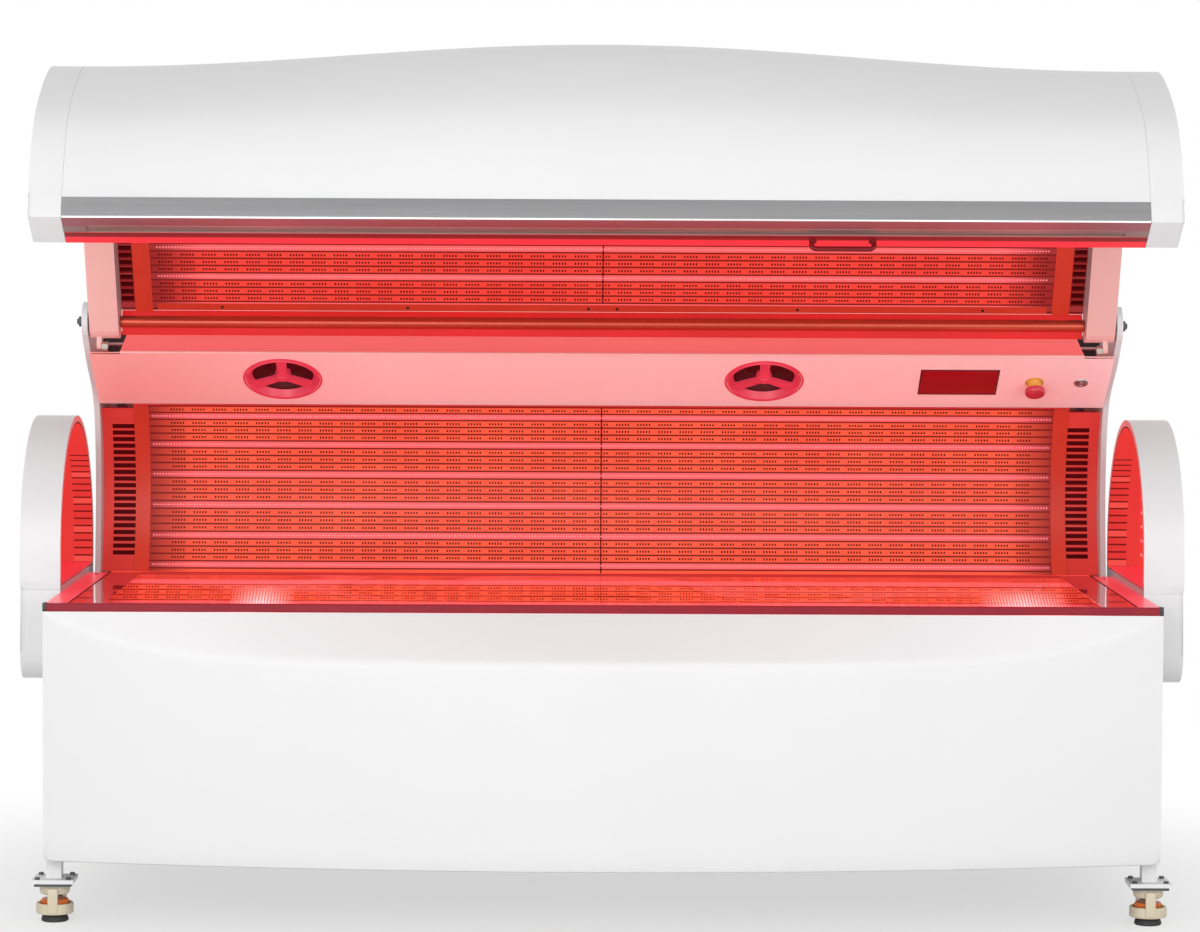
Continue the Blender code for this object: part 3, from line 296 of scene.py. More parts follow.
def make_rows_group():
    """Rows of lamps on a board: the bright rows, the dark joints, the dim ends and the board's rear side."""
    tree, into, out = new_group(
        "lamp_rows", (("Vector", "Vector"), ("Pitch", "Float"), ("Shift", "Float"), ("Half", "Float")),
        (("Bright", "Float"), ("Joint", "Float"), ("Ends", "Float"), ("Hidden", "Float")))
    parts = xyz(tree, into["Vector"])
    rows = sums(tree, "ADD", sums(tree, "DIVIDE", parts["Y"], into["Pitch"]), into["Shift"])
    in_four = sums(tree, "FLOORED_MODULO", sums(tree, "FLOOR", rows), 4.0)
    off_middle = sums(tree, "ABSOLUTE", sums(tree, "SUBTRACT", sums(tree, "FRACT", rows), 0.5))
    inward = sums(tree, "SUBTRACT", into["Half"], sums(tree, "ABSOLUTE", parts["X"]))
    fill(tree, out, Bright=sums(tree, "LESS_THAN", in_four, 0.5), Joint=ramp(tree, off_middle, 0.35, 1 / 11),
         Ends=ramp(tree, inward, 0.1, -0.1), Hidden=sums(tree, "LESS_THAN", parts["Y"], HIDDEN_MARK / 2))
    return tree


GRAIN = make_grain_group()
DUST = make_dust_group()
ROWS = make_rows_group()
print("node groups:", [g.name for g in bpy.data.node_groups])

# %% [markdown]
# ## Finishes
# White gloss panels, powder coated metal, brushed and polished metal, plain plastics and rubber all use the
# same recipe with other values: two close colours mixed by a cloud, roughness that wanders a little, and a
# fine bump. Numbers that are the same all over stay on the shader's own sockets.

# %% The recipe
DUST_GREY, BUMP_DEPTH = (0.62, 0.61, 0.59), 0.0006


def place_group(tree, group, **values):
    node = tree.nodes.new("ShaderNodeGroup")
    node.node_tree = group
    fill(tree, node, **values)
    return node.outputs


def finish(name, colour, shade, roughness, spread=0.1, scale=5.0, bump=0.0, metallic=0.0, dust=0.1,
           stretch=(1.0, 1.0, 1.0), **sockets):
    paint, tree, shader = new_paint(name)
    place = own_place(tree)
    stretched = add_node(tree, "ShaderNodeMapping", Vector=place, Scale=stretch).outputs["Vector"]
    grain = place_group(tree, GRAIN, Vector=stretched, Colour=colour, Shade=shade, Scale=scale,
                        Roughness=roughness, Spread=spread)
    dusty = place_group(tree, DUST, Vector=place, Colour=grain["Colour"], Dust=DUST_GREY, Amount=dust)
    fill(tree, shader, Base_Color=dusty["Colour"], Roughness=grain["Roughness"], Metallic=metallic,
         **sockets)
    if bump:
        relief = add_node(tree, "ShaderNodeBump", Strength=bump, Distance=BUMP_DEPTH, Height=grain["Height"])
        fill(tree, shader, Normal=relief.outputs["Normal"])
    return paint


def tint(paint, share, colour):
    """Blends a colour into a finish's own base colour, where share is 1."""
    tree = paint.node_tree
    base = tree.nodes["Principled BSDF"].inputs["Base Color"]
    tree.links.new(blend(tree, share, base.links[0].from_socket, colour), base)


def lifted(paint, amount):
    """Adds to upward faces the soft light that a pale room sends back to them."""
    tree = paint.node_tree
    upward = ramp(tree, normal_parts(tree)["Z"], 0.1, 2 / 3)
    fill(tree, tree.nodes["Principled BSDF"],
         Emission_Color=blend(tree, upward, BLACK, (amount, amount, amount)), Emission_Strength=1.0)
    paint.cycles.emission_sampling = "NONE"
    return paint


print("the recipe mixes", GRAIN.name, "and", DUST.name)

# %% [markdown]
# Each finish is one call: a name, two colours, roughness and how far it wanders, the size of the cloud, the
# bump, and how metallic it is. The front panel has a white of its own, with less shine and a faint light on
# the faces that look up.

# %% Plain finishes
gloss_white = finish("gloss_white", (0.86, 0.86, 0.865), (0.81, 0.81, 0.82), 0.36, 0.1, 3.0, 0.04,
                     Coat_Weight=0.12, Coat_Roughness=0.12)
front_white = lifted(finish("front_white", (0.86, 0.86, 0.865), (0.82, 0.82, 0.83), 0.36, 0.1, 3.0, 0.04,
                            dust=0.0, Specular_IOR_Level=0.3), 0.13)
coat_white = finish("powder_coat_white", (0.85, 0.85, 0.855), (0.79, 0.79, 0.8), 0.36, 0.14, 6.0, 0.18)
brushed = finish("brushed_aluminium", (0.33, 0.33, 0.335), (0.22, 0.22, 0.225), 0.34, 0.22, 22.0, 0.25, 0.9,
                 stretch=(0.06, 3.0, 3.0), Anisotropic=0.4)
polished = finish("polished_tube", (0.62, 0.56, 0.5), (0.5, 0.44, 0.38), 0.12, 0.1, 18.0, 0.05, 1.0,
                  stretch=(0.1, 2.0, 2.0))
zinc = finish("zinc_steel", (0.52, 0.53, 0.55), (0.38, 0.39, 0.41), 0.34, 0.2, 40.0, 0.12, 1.0)
dark_zinc = finish("dark_zinc", (0.1, 0.1, 0.105), (0.06, 0.06, 0.065), 0.42, 0.2, 40.0, 0.12, 0.8)
dark_plastic = finish("dark_plastic", (0.02, 0.018, 0.019), (0.036, 0.033, 0.034), 0.42, 0.16, 30.0, 0.2)
# Dark crimson: painted shade for the liners' slots and the backing behind them; also the dark of the seams,
# louvres and ledge lines.
shade_and_seam_dark = finish("shade_and_seam_dark", (0.11, 0.002, 0.004), (0.075, 0.001, 0.003), 0.5, 0.16, 20.0, 0.1,
                     dust=0.0, Specular_IOR_Level=0.06)
stop_yellow = finish("stop_yellow", (0.88, 0.47, 0.075), (0.78, 0.38, 0.05), 0.34, 0.12, 30.0, 0.1)
stop_red = finish("stop_red", (0.72, 0.045, 0.08), (0.58, 0.03, 0.055), 0.3, 0.12, 30.0, 0.08,
                  Coat_Weight=0.3)
grip_red = finish("grip_red", (0.24, 0.008, 0.011), (0.15, 0.005, 0.007), 0.38, 0.14, 40.0, 0.1, dust=0.0,
                  Specular_IOR_Level=0.2)
cream = finish("cream_plastic", (0.74, 0.66, 0.5), (0.66, 0.57, 0.42), 0.42, 0.14, 30.0, 0.12)
thumb_orange = finish("thumbwheel_orange", (0.78, 0.2, 0.03), (0.66, 0.15, 0.02), 0.42, 0.14, 40.0, 0.12)
screen_edge = finish("screen_edge", (0.12, 0.008, 0.012), (0.08, 0.006, 0.009), 0.34, 0.12, 40.0, 0.05)
# The hinge tube is aluminium; its red-orange base colour is a painted reflection of the lamps.
tube_red_reflection = finish("tube_red_reflection", (0.6, 0.09, 0.048), (0.48, 0.062, 0.032), 0.3, 0.12, 18.0, 0.05, 0.6,
                   stretch=(0.1, 2.0, 2.0))
# Dark crimson on the blowers: painted shade for the depth of the vents.
vent_depth_shade = finish("vent_depth_shade", (0.17, 0.006, 0.013), (0.11, 0.004, 0.009), 0.5, 0.16, 20.0, 0.1)
ridge_brown = finish("ridge_brown", (0.46, 0.3, 0.27), (0.36, 0.22, 0.2), 0.34, 0.1, 60.0, 0.04, 0.6)
# Bright polished metal for the bead on the rail's bend, laid there as a painted highlight.
bright_highlight_edge = finish("bright_highlight_edge", (0.86, 0.86, 0.86), (0.74, 0.74, 0.75), 0.16, 0.1, 60.0, 0.04, 1.0)
rubber = finish("black_rubber", (0.016, 0.016, 0.017), (0.035, 0.035, 0.036), 0.66, 0.16, 50.0, 0.3)
screen = finish("screen_glass", (0.5, 0.007, 0.018), (0.34, 0.004, 0.011), 0.22, 0.06, 24.0,
                stretch=(0.1, 4.0, 4.0), dust=0.0, Specular_IOR_Level=0.25)
print(len(bpy.data.materials), "materials so far")

# %% [markdown]
# The console is white too, but it lies between two fields of lamps, and its shelf sees little else. Its
# finish holds that caught light: a height on the piece itself parts the pale slope from the red shelf, the
# slope is redder towards its left end, and what lies behind the canopy stays white.

# %% Console finish
SHELF_FROM, SHELF_OVER, SHELF_TO, SHELF_FADE = 1.1125, 0.004, 0.765, 0.05
REDDER_FROM, REDDER_TO = 0.45, 1.05


def console_finish():
    paint, tree, shader = new_paint("console_lit_white")
    place = own_place(tree)
    parts = xyz(tree, place)
    shelf = ramp(tree, parts["Z"], SHELF_FROM, SHELF_OVER)
    ahead = ramp(tree, parts["Y"], FRONT + SHELF_TO, -SHELF_FADE)
    to_left = ramp(tree, parts["X"], -REDDER_FROM, REDDER_FROM - REDDER_TO)
    cloud = noise(tree, place, 1.6, 1.0)
    slope_white = blend(tree, cloud, (0.88, 0.86, 0.86), (0.86, 0.76, 0.77))
    slope_white = blend(tree, to_left, slope_white, (0.84, 0.5, 0.46))
    shelf_red = blend(tree, cloud, (0.66, 0.022, 0.02), (0.62, 0.016, 0.017))
    ground = blend(tree, shelf, slope_white, shelf_red)
    slope_glow = blend(tree, cloud, (0.3, 0.04, 0.042), (0.38, 0.04, 0.042))
    shelf_glow = blend(tree, cloud, (0.52, 0.022, 0.016), (0.48, 0.012, 0.012))
    glow = blend(tree, shelf, slope_glow, shelf_glow)
    fill(tree, shader, Base_Color=blend(tree, ahead, (0.83, 0.82, 0.82), ground),
         Emission_Color=blend(tree, ahead, BLACK, glow), Emission_Strength=1.0,
         Roughness=wandering(tree, place, 5.0, 0.06, 0.28), Specular_IOR_Level=0.12)
    paint.cycles.emission_sampling = "NONE"
    return paint


console_white = console_finish()
print("console finish parts at height", SHELF_FROM)

# %% [markdown]
# ## Lit finishes
# The lamps are the point of this object, so the boards really shine: the shader's emission has the row
# pattern. The eye sees that light in full, but only a share of it falls on the neighbours, which keeps the
# white parts white. The pattern follows the board, so it reads the board's own UV map, which holds metres
# across and along.

# %% Lamp boards and their light
LAMP_LIGHT, LAMP_CAST, GLOW_CAST = 1.05, 0.25, 0.1
PLAIN_WHITE = (0.82, 0.81, 0.81)
LIP_STEP, LIP_SOFT = 0.5, 0.16


def board_finish(name, pitch, shift, half, strength, warm=(1.0, 0.12, 0.055), bright=(1.0, 0.12, 0.125)):
    paint, tree, shader = new_paint(name)
    place = metres(tree)
    rows = place_group(tree, ROWS, Vector=place, Pitch=pitch, Shift=shift, Half=half)
    deep_red = tuple(c * f for c, f in zip(warm, (0.76, 0.5, 0.55)))
    lit = blend(tree, noise(tree, place, 5.0, 2.0), warm, deep_red)
    dim_ends = sums(tree, "MULTIPLY", rows["Ends"], 0.85)
    for share, colour in ((rows["Bright"], bright), (rows["Joint"], (0.13, 0.005, 0.004)),
                          (dim_ends, (0.16, 0.006, 0.008)), (rows["Hidden"], BLACK)):
        lit = blend(tree, share, lit, colour)
    fill(tree, shader, Emission_Color=held_back(tree, lit, LAMP_CAST), Emission_Strength=strength,
         Base_Color=blend(tree, rows["Joint"], (0.1, 0.012, 0.01), (0.03, 0.004, 0.004)),
         Roughness=wandering(tree, place, 60.0, 0.2, 0.35), Specular_IOR_Level=0.15)
    return paint


def not_in_front(tree):
    """1 on faces that look away from the front, 0 on those that look there."""
    return ramp(tree, normal_parts(tree)["Y"], -0.5, 0.5)


def on_hidden_side(tree):
    """1 on the rear side of a sheet, by its UV map."""
    return sums(tree, "LESS_THAN", xyz(tree, metres(tree))["Y"], HIDDEN_MARK / 2)


def glow_finish(name, colour, edge, strength, scale, base=(0.12, 0.014, 0.01), gloss=0.2, unlit=None,
                **sockets):
    """A lamp that shines unevenly, or a strip or trim with a painted glow of the lamps' light. Unlit gives
    the faces that stay plain white.
    """
    paint, tree, shader = new_paint(name)
    cloud = noise(tree, own_place(tree), scale)
    glow = blend(tree, cloud, colour, edge)
    ground = blend(tree, cloud, base, tuple(c * 0.7 for c in base))
    if unlit:
        plain = unlit(tree)
        glow = blend(tree, plain, glow, BLACK)
        ground = blend(tree, plain, ground, PLAIN_WHITE)
    fill(tree, shader, Emission_Color=held_back(tree, glow, GLOW_CAST), Emission_Strength=strength,
         Base_Color=ground, Roughness=sums(tree, "MULTIPLY_ADD", cloud, 0.2, 0.2),
         Specular_IOR_Level=gloss, **sockets)
    paint.cycles.emission_sampling = "NONE"
    return paint


def lip_finish(length):
    """Metal that is red where it sees the lamps, and darkens over a length of its UV map."""
    paint, tree, shader = new_paint("rail_lip_lit")
    place = metres(tree)
    along = sums(tree, "DIVIDE", sums(tree, "MAXIMUM", xyz(tree, place)["Y"], 0.0), length)
    away = ramp(tree, along, LIP_STEP, LIP_SOFT)
    lit = blend(tree, away, (0.78, 0.026, 0.042), (0.12, 0.002, 0.004))
    fill(tree, shader, Emission_Color=held_back(tree, lit, GLOW_CAST), Emission_Strength=1.0, Metallic=0.6,
         Base_Color=blend(tree, away, (0.3, 0.02, 0.022), (0.16, 0.02, 0.022)),
         Roughness=wandering(tree, place, 60.0, 0.2, 0.3))
    paint.cycles.emission_sampling = "NONE"
    return paint


print("lamps cast", LAMP_CAST, "of the light that is seen in them")

# %% [markdown]
# The boards differ in the pitch of their rows and in where the first bright row lies. The smaller lit parts
# give the colour of their light, its darker spots, its strength, the size of the cloud, and the colour that
# lies below. Apart from the small lamps, their light is a painted glow.

# %% Boards, lamps and lit trims
WALL_PITCH, CANOPY_PITCH, TRAY_PITCH, DOME_PITCH = 0.0166, 0.0175, 0.017, 0.016
WALL_SHIFT, CANOPY_SHIFT = 3.051, 3.75
wall_board = board_finish("wall_board", WALL_PITCH, WALL_SHIFT, 0.975, LAMP_LIGHT)
canopy_board = board_finish("canopy_board", CANOPY_PITCH, CANOPY_SHIFT, 0.93, LAMP_LIGHT,
                            (0.93, 0.064, 0.042))
tray_board = board_finish("tray_board", TRAY_PITCH, 0.0, 1.08, 1.4 * LAMP_LIGHT)
dome_board = board_finish("dome_board", DOME_PITCH, 0.0, 3.0, LAMP_LIGHT, (0.8, 0.045, 0.04),
                          (0.84, 0.07, 0.06))
lamp_pink = glow_finish("lamp_pink", (1.0, 0.32, 0.34), (1.0, 0.15, 0.17), 1.05, 120.0)
lamp_dark = glow_finish("lamp_dark", (0.07, 0.003, 0.002), (0.04, 0.002, 0.001), 1.0, 120.0,
                        (0.02, 0.001, 0.001), 0.05)
# From here on the parts are no lamps, so their glow is painted light: the lamps' red, pink and orange light
# on the arms, liners, ledges, vents, lips, console edge bead, strips, edgings, wall foot, tray rim, apron,
# front trim, rails and sills, and on the glossy ledge the light it mirrors. The pink in the base colours of
# the arms, lips, edge bead and rails is painted light too.
arm_lit = glow_finish("arm_lit", (0.34, 0.014, 0.012), (0.18, 0.006, 0.005), 1.0, 2.0, (0.84, 0.64, 0.6),
                      0.4, not_in_front)
liner_red = glow_finish("liner_red", (0.46, 0.018, 0.014), (0.3, 0.008, 0.009), 1.0, 9.0,
                        (0.46, 0.06, 0.048))
ledge_red = glow_finish("ledge_red", (0.3, 0.008, 0.012), (0.22, 0.006, 0.01), 1.0, 4.0, (0.42, 0.03, 0.04),
                        0.9, Coat_Weight=1.0, Coat_Roughness=0.02, Coat_IOR=1.6)
vent_crimson = glow_finish("vent_crimson", (0.36, 0.01, 0.03), (0.24, 0.006, 0.018), 1.0, 24.0,
                           (0.7, 0.07, 0.115), 0.4)
lip_pink = glow_finish("lip_pink", (0.34, 0.04, 0.036), (0.22, 0.02, 0.02), 1.0, 4.0, (0.84, 0.5, 0.48), 0.3)
edge_highlight_pink = glow_finish("edge_highlight_pink", (0.45, 0.13, 0.11), (0.36, 0.09, 0.08), 1.0, 20.0, (0.8, 0.56, 0.54))
strip_amber = glow_finish("strip_amber", (0.62, 0.036, 0.014), (0.42, 0.02, 0.012), 1.0, 8.0)
edge_red = glow_finish("edge_lit_red", (0.22, 0.006, 0.014), (0.14, 0.004, 0.01), 1.0, 12.0,
                       (0.15, 0.008, 0.016))
foot_orange = glow_finish("foot_orange", (0.9, 0.08, 0.05), (0.74, 0.05, 0.034), 1.0, 10.0)
wall_joint_red = glow_finish("joint_red", (0.55, 0.014, 0.016), (0.4, 0.01, 0.012), 1.0, 10.0)
apron_red = glow_finish("apron_red", (0.62, 0.012, 0.012), (0.46, 0.01, 0.01), 1.0, 6.0, (0.3, 0.02, 0.018),
                        unlit=on_hidden_side)
rail_pink = glow_finish("rail_pink", (0.56, 0.006, 0.02), (0.46, 0.005, 0.017), 1.0, 6.0, (0.7, 0.25, 0.29))
print("lamp rows every", WALL_PITCH, "m on the wall")

# %% [markdown]
# ## Clear sheet
# The lying sheet is clear acrylic. It could be faked with transparency, but real transmission with the
# right index looks right from every side. A smooth coat mirrors the lamps behind, a slow bump bends those
# mirrored rows into waves, and two striped glints are painted where the bent sheet gathers light.

# %% Clear acrylic
GLINTS, GLINT_STEP, GLINT_TO, GLINT_FADE = ((-0.72, 0.07), (0.9, 0.1)), 0.0066, 0.7, 0.06
WAVE_STRETCH, WAVE_SCALE, WAVE_STRENGTH, WAVE_DEPTH = (0.5, 2.0, 2.0), 3.0, 0.6, 0.014


def glint_mask(tree, vector):
    """Striped patches where the bent sheet gathers the lamps' light."""
    parts = xyz(tree, vector)
    patches = 0.0
    for place, half in GLINTS:
        away = sums(tree, "ABSOLUTE", sums(tree, "SUBTRACT", parts["X"], place))
        patches = sums(tree, "MAXIMUM", patches, sums(tree, "MULTIPLY_ADD", away, -1.0 / half, 1.0))
    stripes = sums(tree, "SINE", sums(tree, "MULTIPLY", parts["X"], 2 * math.pi / GLINT_STEP))
    stripes = sums(tree, "MULTIPLY_ADD", stripes, 0.4, 0.6)
    ahead = ramp(tree, parts["Y"], FRONT + GLINT_TO, -GLINT_FADE)
    return sums(tree, "MULTIPLY", sums(tree, "MULTIPLY", patches, stripes), ahead)


def clear_finish(name, colour, roughness, spread):
    paint, tree, shader = new_paint(name)
    place = own_place(tree)
    haze = noise(tree, place, 7.0)
    paler = tuple(min(1.0, c * 1.06) for c in colour)
    stretched = add_node(tree, "ShaderNodeMapping", Vector=place, Scale=WAVE_STRETCH).outputs["Vector"]
    waves = add_node(tree, "ShaderNodeBump", Strength=WAVE_STRENGTH, Distance=WAVE_DEPTH,
                     Height=noise(tree, stretched, WAVE_SCALE, 1.0)).outputs["Normal"]
    glow = blend(tree, glint_mask(tree, place), (0.03, 0.001, 0.001), (1.0, 0.46, 0.48))
    fill(tree, shader, Base_Color=blend(tree, haze, colour, paler), Transmission_Weight=1.0, IOR=1.49,
         Roughness=sums(tree, "MULTIPLY_ADD", haze, spread, roughness), Emission_Color=glow,
         Emission_Strength=0.9, Coat_Weight=1.0, Coat_Roughness=0.02, Coat_IOR=1.7, Normal=waves,
         Coat_Normal=waves)
    paint.cycles.emission_sampling = "NONE"
    return paint


acrylic = clear_finish("clear_acrylic", (0.95, 0.82, 0.82), 0.03, 0.03)
print("clear sheet bends what it mirrors by waves of", WAVE_DEPTH, "m")

# %% [markdown]
# ## Making meshes
# Every piece ends in one function: it gives a mesh its finish and shading, sets it on a moving body, and
# hides the solid it replaces. Modifiers help to thicken a sheet or to cut a hollow; what they make is kept
# as a plain mesh.

# %% Pieces
CREASE = math.radians(32.0)


def add_piece(name, mesh, paint, body, slot, *replaced):
    mesh.name = name
    mesh.materials.clear()
    mesh.materials.append(paint)
    mesh.shade_smooth()
    mesh.set_sharp_from_angle(angle=CREASE)
    piece = bpy.data.objects.new(name, mesh)
    scene.collection.objects.link(piece)
    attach(piece, body)
    if replaced:
        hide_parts(*replaced)
    print(f"{name}: {len(mesh.polygons)} faces on {body}")
    return piece


def keep_flats(piece):
    """Ends the soft shading at the border of each flat end face, where a rounded rim would smear it."""
    mesh = piece.data
    touching = {}
    for polygon in mesh.polygons:
        for key in polygon.edge_keys:
            touching.setdefault(key, set()).add(abs(polygon.normal.x) > 0.9995)
    for edge in mesh.edges:
        if len(touching.get(edge.key, ())) == 2:
            edge.use_edge_sharp = True


def mesh_from(bm, outward=True):
    if outward:
        bmesh.ops.recalc_face_normals(bm, faces=bm.faces)
    mesh = bpy.data.meshes.new("making")
    bm.to_mesh(mesh)
    bm.free()
    return mesh


def built(*steps):
    """One mesh from several steps: a function that adds a shape, and what that function needs."""
    bm = bmesh.new()
    for add, *values in steps:
        add(bm, *values)
    return mesh_from(bm)


def plain_mesh(holder):
    """What an object's modifiers make of it, as a plain mesh. The object goes."""
    result = bpy.data.meshes.new_from_object(holder.evaluated_get(bpy.context.evaluated_depsgraph_get()))
    holder.modifiers.clear()
    bpy.data.objects.remove(holder)
    return result


def shaped(mesh, kind, **settings):
    holder = bpy.data.objects.new("making", mesh)
    scene.collection.objects.link(holder)
    modifier = holder.modifiers.new(kind, kind)
    for label, value in settings.items():
        setattr(modifier, label, value)
    return plain_mesh(holder)


def cut_away(mesh, tool_mesh):
    tool = bpy.data.objects.new("cutter", tool_mesh)
    scene.collection.objects.link(tool)
    result = shaped(mesh, "BOOLEAN", object=tool, operation="DIFFERENCE", solver="EXACT")
    bpy.data.objects.remove(tool)
    return result


print("pieces are smooth where faces meet at less than", round(math.degrees(CREASE)), "degrees")

# %% [markdown]
# A few shapes are enough for the rest: an outline pushed along the bed, a rounded block, a profile turned
# on an axis and a round bar along a path.

# %% Shapes


def mm(*points):
    """Points in millimetres, for small turned parts."""
    return [tuple(c / 1000 for c in point) for point in points]


def join_rings(bm, low, high):
    faces = []
    for k in range(len(low)):
        n = (k + 1) % len(low)
        corners = list(dict.fromkeys((low[k], low[n], high[n], high[k])))
        if len(corners) > 2:
            faces.append(bm.faces.new(corners))
    return faces


def add_prism(bm, outline, x0, x1):
    """An outline of (depth, height) points pushed along X. Gives back its two end faces."""
    near, far = ([bm.verts.new((x, y, z)) for y, z in outline] for x in (x0, x1))
    ends = bm.faces.new(near), bm.faces.new(far[::-1])
    for i in range(len(outline)):
        j = (i + 1) % len(outline)
        bm.faces.new((near[j], near[i], far[i], far[j]))
    return ends


def add_block(bm, low, high, radius, place=Matrix()):
    made = bmesh.ops.create_cube(bm, size=1.0)["verts"]
    middle = (Vector(low) + Vector(high)) / 2
    size = Matrix.Diagonal((*(Vector(high) - Vector(low)), 1.0))
    bmesh.ops.transform(bm, matrix=place @ Matrix.Translation(middle) @ size, verts=made)
    edges = list({e for v in made for e in v.link_edges})
    bmesh.ops.bevel(bm, geom=edges, offset=radius, segments=3, profile=0.5, affect="EDGES")


def circle(facets):
    turns = [2 * math.pi * k / facets for k in range(facets)]
    return [(math.cos(t), math.sin(t)) for t in turns]


def add_turned(bm, profile, place, facets=40, closed=False):
    """Turn (radius, height) points about the local Z axis of a place."""
    rings = []
    for radius, height in profile:
        if radius == 0.0:
            rings.append([bm.verts.new(place @ Vector((0.0, 0.0, height)))] * facets)
        else:
            rings.append([bm.verts.new(place @ Vector((radius * a, radius * b, height)))
                          for a, b in circle(facets)])
    for low, high in zip(rings, rings[1:] + rings[:1] if closed else rings[1:]):
        join_rings(bm, low, high)


def mirrored(half):
    """A whole profile from its lower half."""
    return half + [(radius, -height) for radius, height in reversed(half)]


def heading(path, i):
    return (Vector(path[min(i + 1, len(path) - 1)]) - Vector(path[max(i - 1, 0)])).normalized()


def add_tube(bm, path, radius, facets=16):
    """A round bar along 3-D points, with closed ends."""
    rings = []
    side = heading(path, 0).orthogonal()
    for i, point in enumerate(path):
        ahead = heading(path, i)
        side = (side - ahead * side.dot(ahead)).normalized()
        other = ahead.cross(side)
        rings.append([bm.verts.new(Vector(point) + (side * a + other * b) * radius)
                      for a, b in circle(facets)])
    for low, high in zip(rings, rings[1:]):
        join_rings(bm, low, high)
    bm.faces.new(rings[0][::-1])
    bm.faces.new(rings[-1])


def add_rod(bm, half, point, radius, facets):
    """A straight round bar across the bed through a (depth, height) point."""
    add_tube(bm, [(-half, *point), (half, *point)], radius, facets)


def prism(outline, x0, x1):
    return built((add_prism, outline, x0, x1))


def grid_mesh(columns):
    bm = bmesh.new()
    rows = [[bm.verts.new(p) for p in column] for column in columns]
    for a, b in zip(rows, rows[1:]):
        for k in range(len(a) - 1):
            bm.faces.new((a[k], b[k], b[k + 1], a[k + 1]))
    return mesh_from(bm, False)


print("shapes ready, front edge at", round(FRONT, 4))

# %% [markdown]
# Boards, strips and ledges are all sheets that follow a path seen from the bed's end. A sheet carries its
# own measure as a UV map: metres across, and metres along the path. Its rear side gets a mark far below, so
# a finish can tell.

# %% Paths and sheets


def arc(centre, radius, first, last, steps):
    turns = (math.radians(first + (last - first) * k / steps) for k in range(steps + 1))
    return [(centre[0] + radius * math.cos(t), centre[1] + radius * math.sin(t)) for t in turns]


def bow(half, dip):
    """Radius of an arc with half a chord and a dip, and half its angle in degrees."""
    radius = (half ** 2 + dip ** 2) / (2 * dip)
    return radius, math.degrees(math.asin(half / radius))


def quadratic(a, b, c, t):
    return a * (1 - t) ** 2 + b * 2 * t * (1 - t) + c * t ** 2


def smooth(keys, steps):
    """Catmull-Rom curve through key points."""
    ends = [keys[0]] + list(keys) + [keys[-1]]
    points = []
    for a, b, c, d in zip(ends, ends[1:], ends[2:], ends[3:]):
        for k in range(steps):
            t = k / steps
            points.append(tuple(
                0.5 * (2 * b[i] + (c[i] - a[i]) * t + (2 * a[i] - 5 * b[i] + 4 * c[i] - d[i]) * t ** 2
                       + (3 * b[i] - a[i] - 3 * c[i] + d[i]) * t ** 3) for i in (0, 1)))
    points.append(tuple(keys[-1]))
    return points


def deep(*points):
    """Points given as depth behind the straight front edge, in the frame's own depth."""
    return [(FRONT + v, z) for v, z in points]


def moved(path, distance):
    """A path moved to its right by a distance."""
    sides = [heading(path, i) for i in range(len(path))]
    return [(y + a.y * distance, z - a.x * distance) for (y, z), a in zip(path, sides)]


def measured(path):
    lengths = [0.0]
    for a, b in zip(path, path[1:]):
        lengths.append(lengths[-1] + (Vector(b) - Vector(a)).length)
    return lengths


def on_path(path, distance):
    """Point and left normal at a distance along a path."""
    for a, b in zip(path, path[1:]):
        a, b = Vector(a), Vector(b)
        length = (b - a).length
        if distance <= length:
            ahead = (b - a) / length
            return a + ahead * distance, Vector((-ahead.y, ahead.x))
        distance -= length


def placed(x, path, distance, lift=0.0):
    """A place for a lamp, bar or screw: where it stands on a board and where it faces."""
    point, normal = on_path(path, distance)
    return (x, *(point + normal * lift)), (0.0, *normal)


def path_sheet(path, x0, x1, wall):
    """A sheet whose seen side lies on the left of its path."""
    bm = bmesh.new()
    layer = bm.loops.layers.uv.new("metres")
    seen, hidden = ([[bm.verts.new((x, y, z)) for x in (x0, x1)] for y, z in line]
                    for line in (path, moved(path, wall)))
    along = {v: length for row, length in zip(seen, measured(path)) for v in row}
    shown = []
    for i in range(len(path) - 1):
        shown.append(bm.faces.new((seen[i][0], seen[i][1], seen[i + 1][1], seen[i + 1][0])))
        bm.faces.new((hidden[i][1], hidden[i][0], hidden[i + 1][0], hidden[i + 1][1]))
        for s in (0, 1):
            bm.faces.new((seen[i][s], seen[i + 1][s], hidden[i + 1][s], hidden[i][s]))
    for i in (0, -1):
        bm.faces.new((seen[i][0], seen[i][1], hidden[i][1], hidden[i][0]))
    for face in bm.faces:
        for loop in face.loops:
            loop[layer].uv = (loop.vert.co.x, HIDDEN_MARK)
    for face in shown:
        for loop in face.loops:
            loop[layer].uv = (loop.vert.co.x, along[loop.vert])
    return mesh_from(bm)


def lay(name, path, span, wall, paint, body, slot, *replaced):
    """A sheet becomes a piece. Span is half its length, or where it starts and stops across the bed."""
    x0, x1 = sorted(span) if isinstance(span, tuple) else (-span, span)
    add_piece(name, path_sheet(path, x0, x1, wall), paint, body, slot, *replaced)


def on_side(side, span):
    return tuple(side * x for x in span)


print("sheets mark their rear side with", HIDDEN_MARK)

# %% [markdown]
# ## Things that repeat
# Lamps, screws, knurls and slots are one small shape on many places. Geometry Nodes do that well: a cloud
# of points carries the direction each one faces, and a tree sets a stud or a bar on each point. Copying
# meshes in a loop would work too, but the tree keeps its sizes as named inputs.

# %% Geometry Nodes trees


def start_tree(name, **numbers):
    tree = bpy.data.node_groups.new(name, "GeometryNodeTree")
    tree.interface.new_socket("Places", in_out="INPUT", socket_type="NodeSocketGeometry")
    for label, kind in numbers.items():
        tree.interface.new_socket(label, in_out="INPUT", socket_type="NodeSocket" + kind)
    tree.interface.new_socket("Finish", in_out="INPUT", socket_type="NodeSocketMaterial")
    tree.interface.new_socket("Pieces", in_out="OUTPUT", socket_type="NodeSocketGeometry")
    return tree, tree.nodes.new("NodeGroupInput").outputs


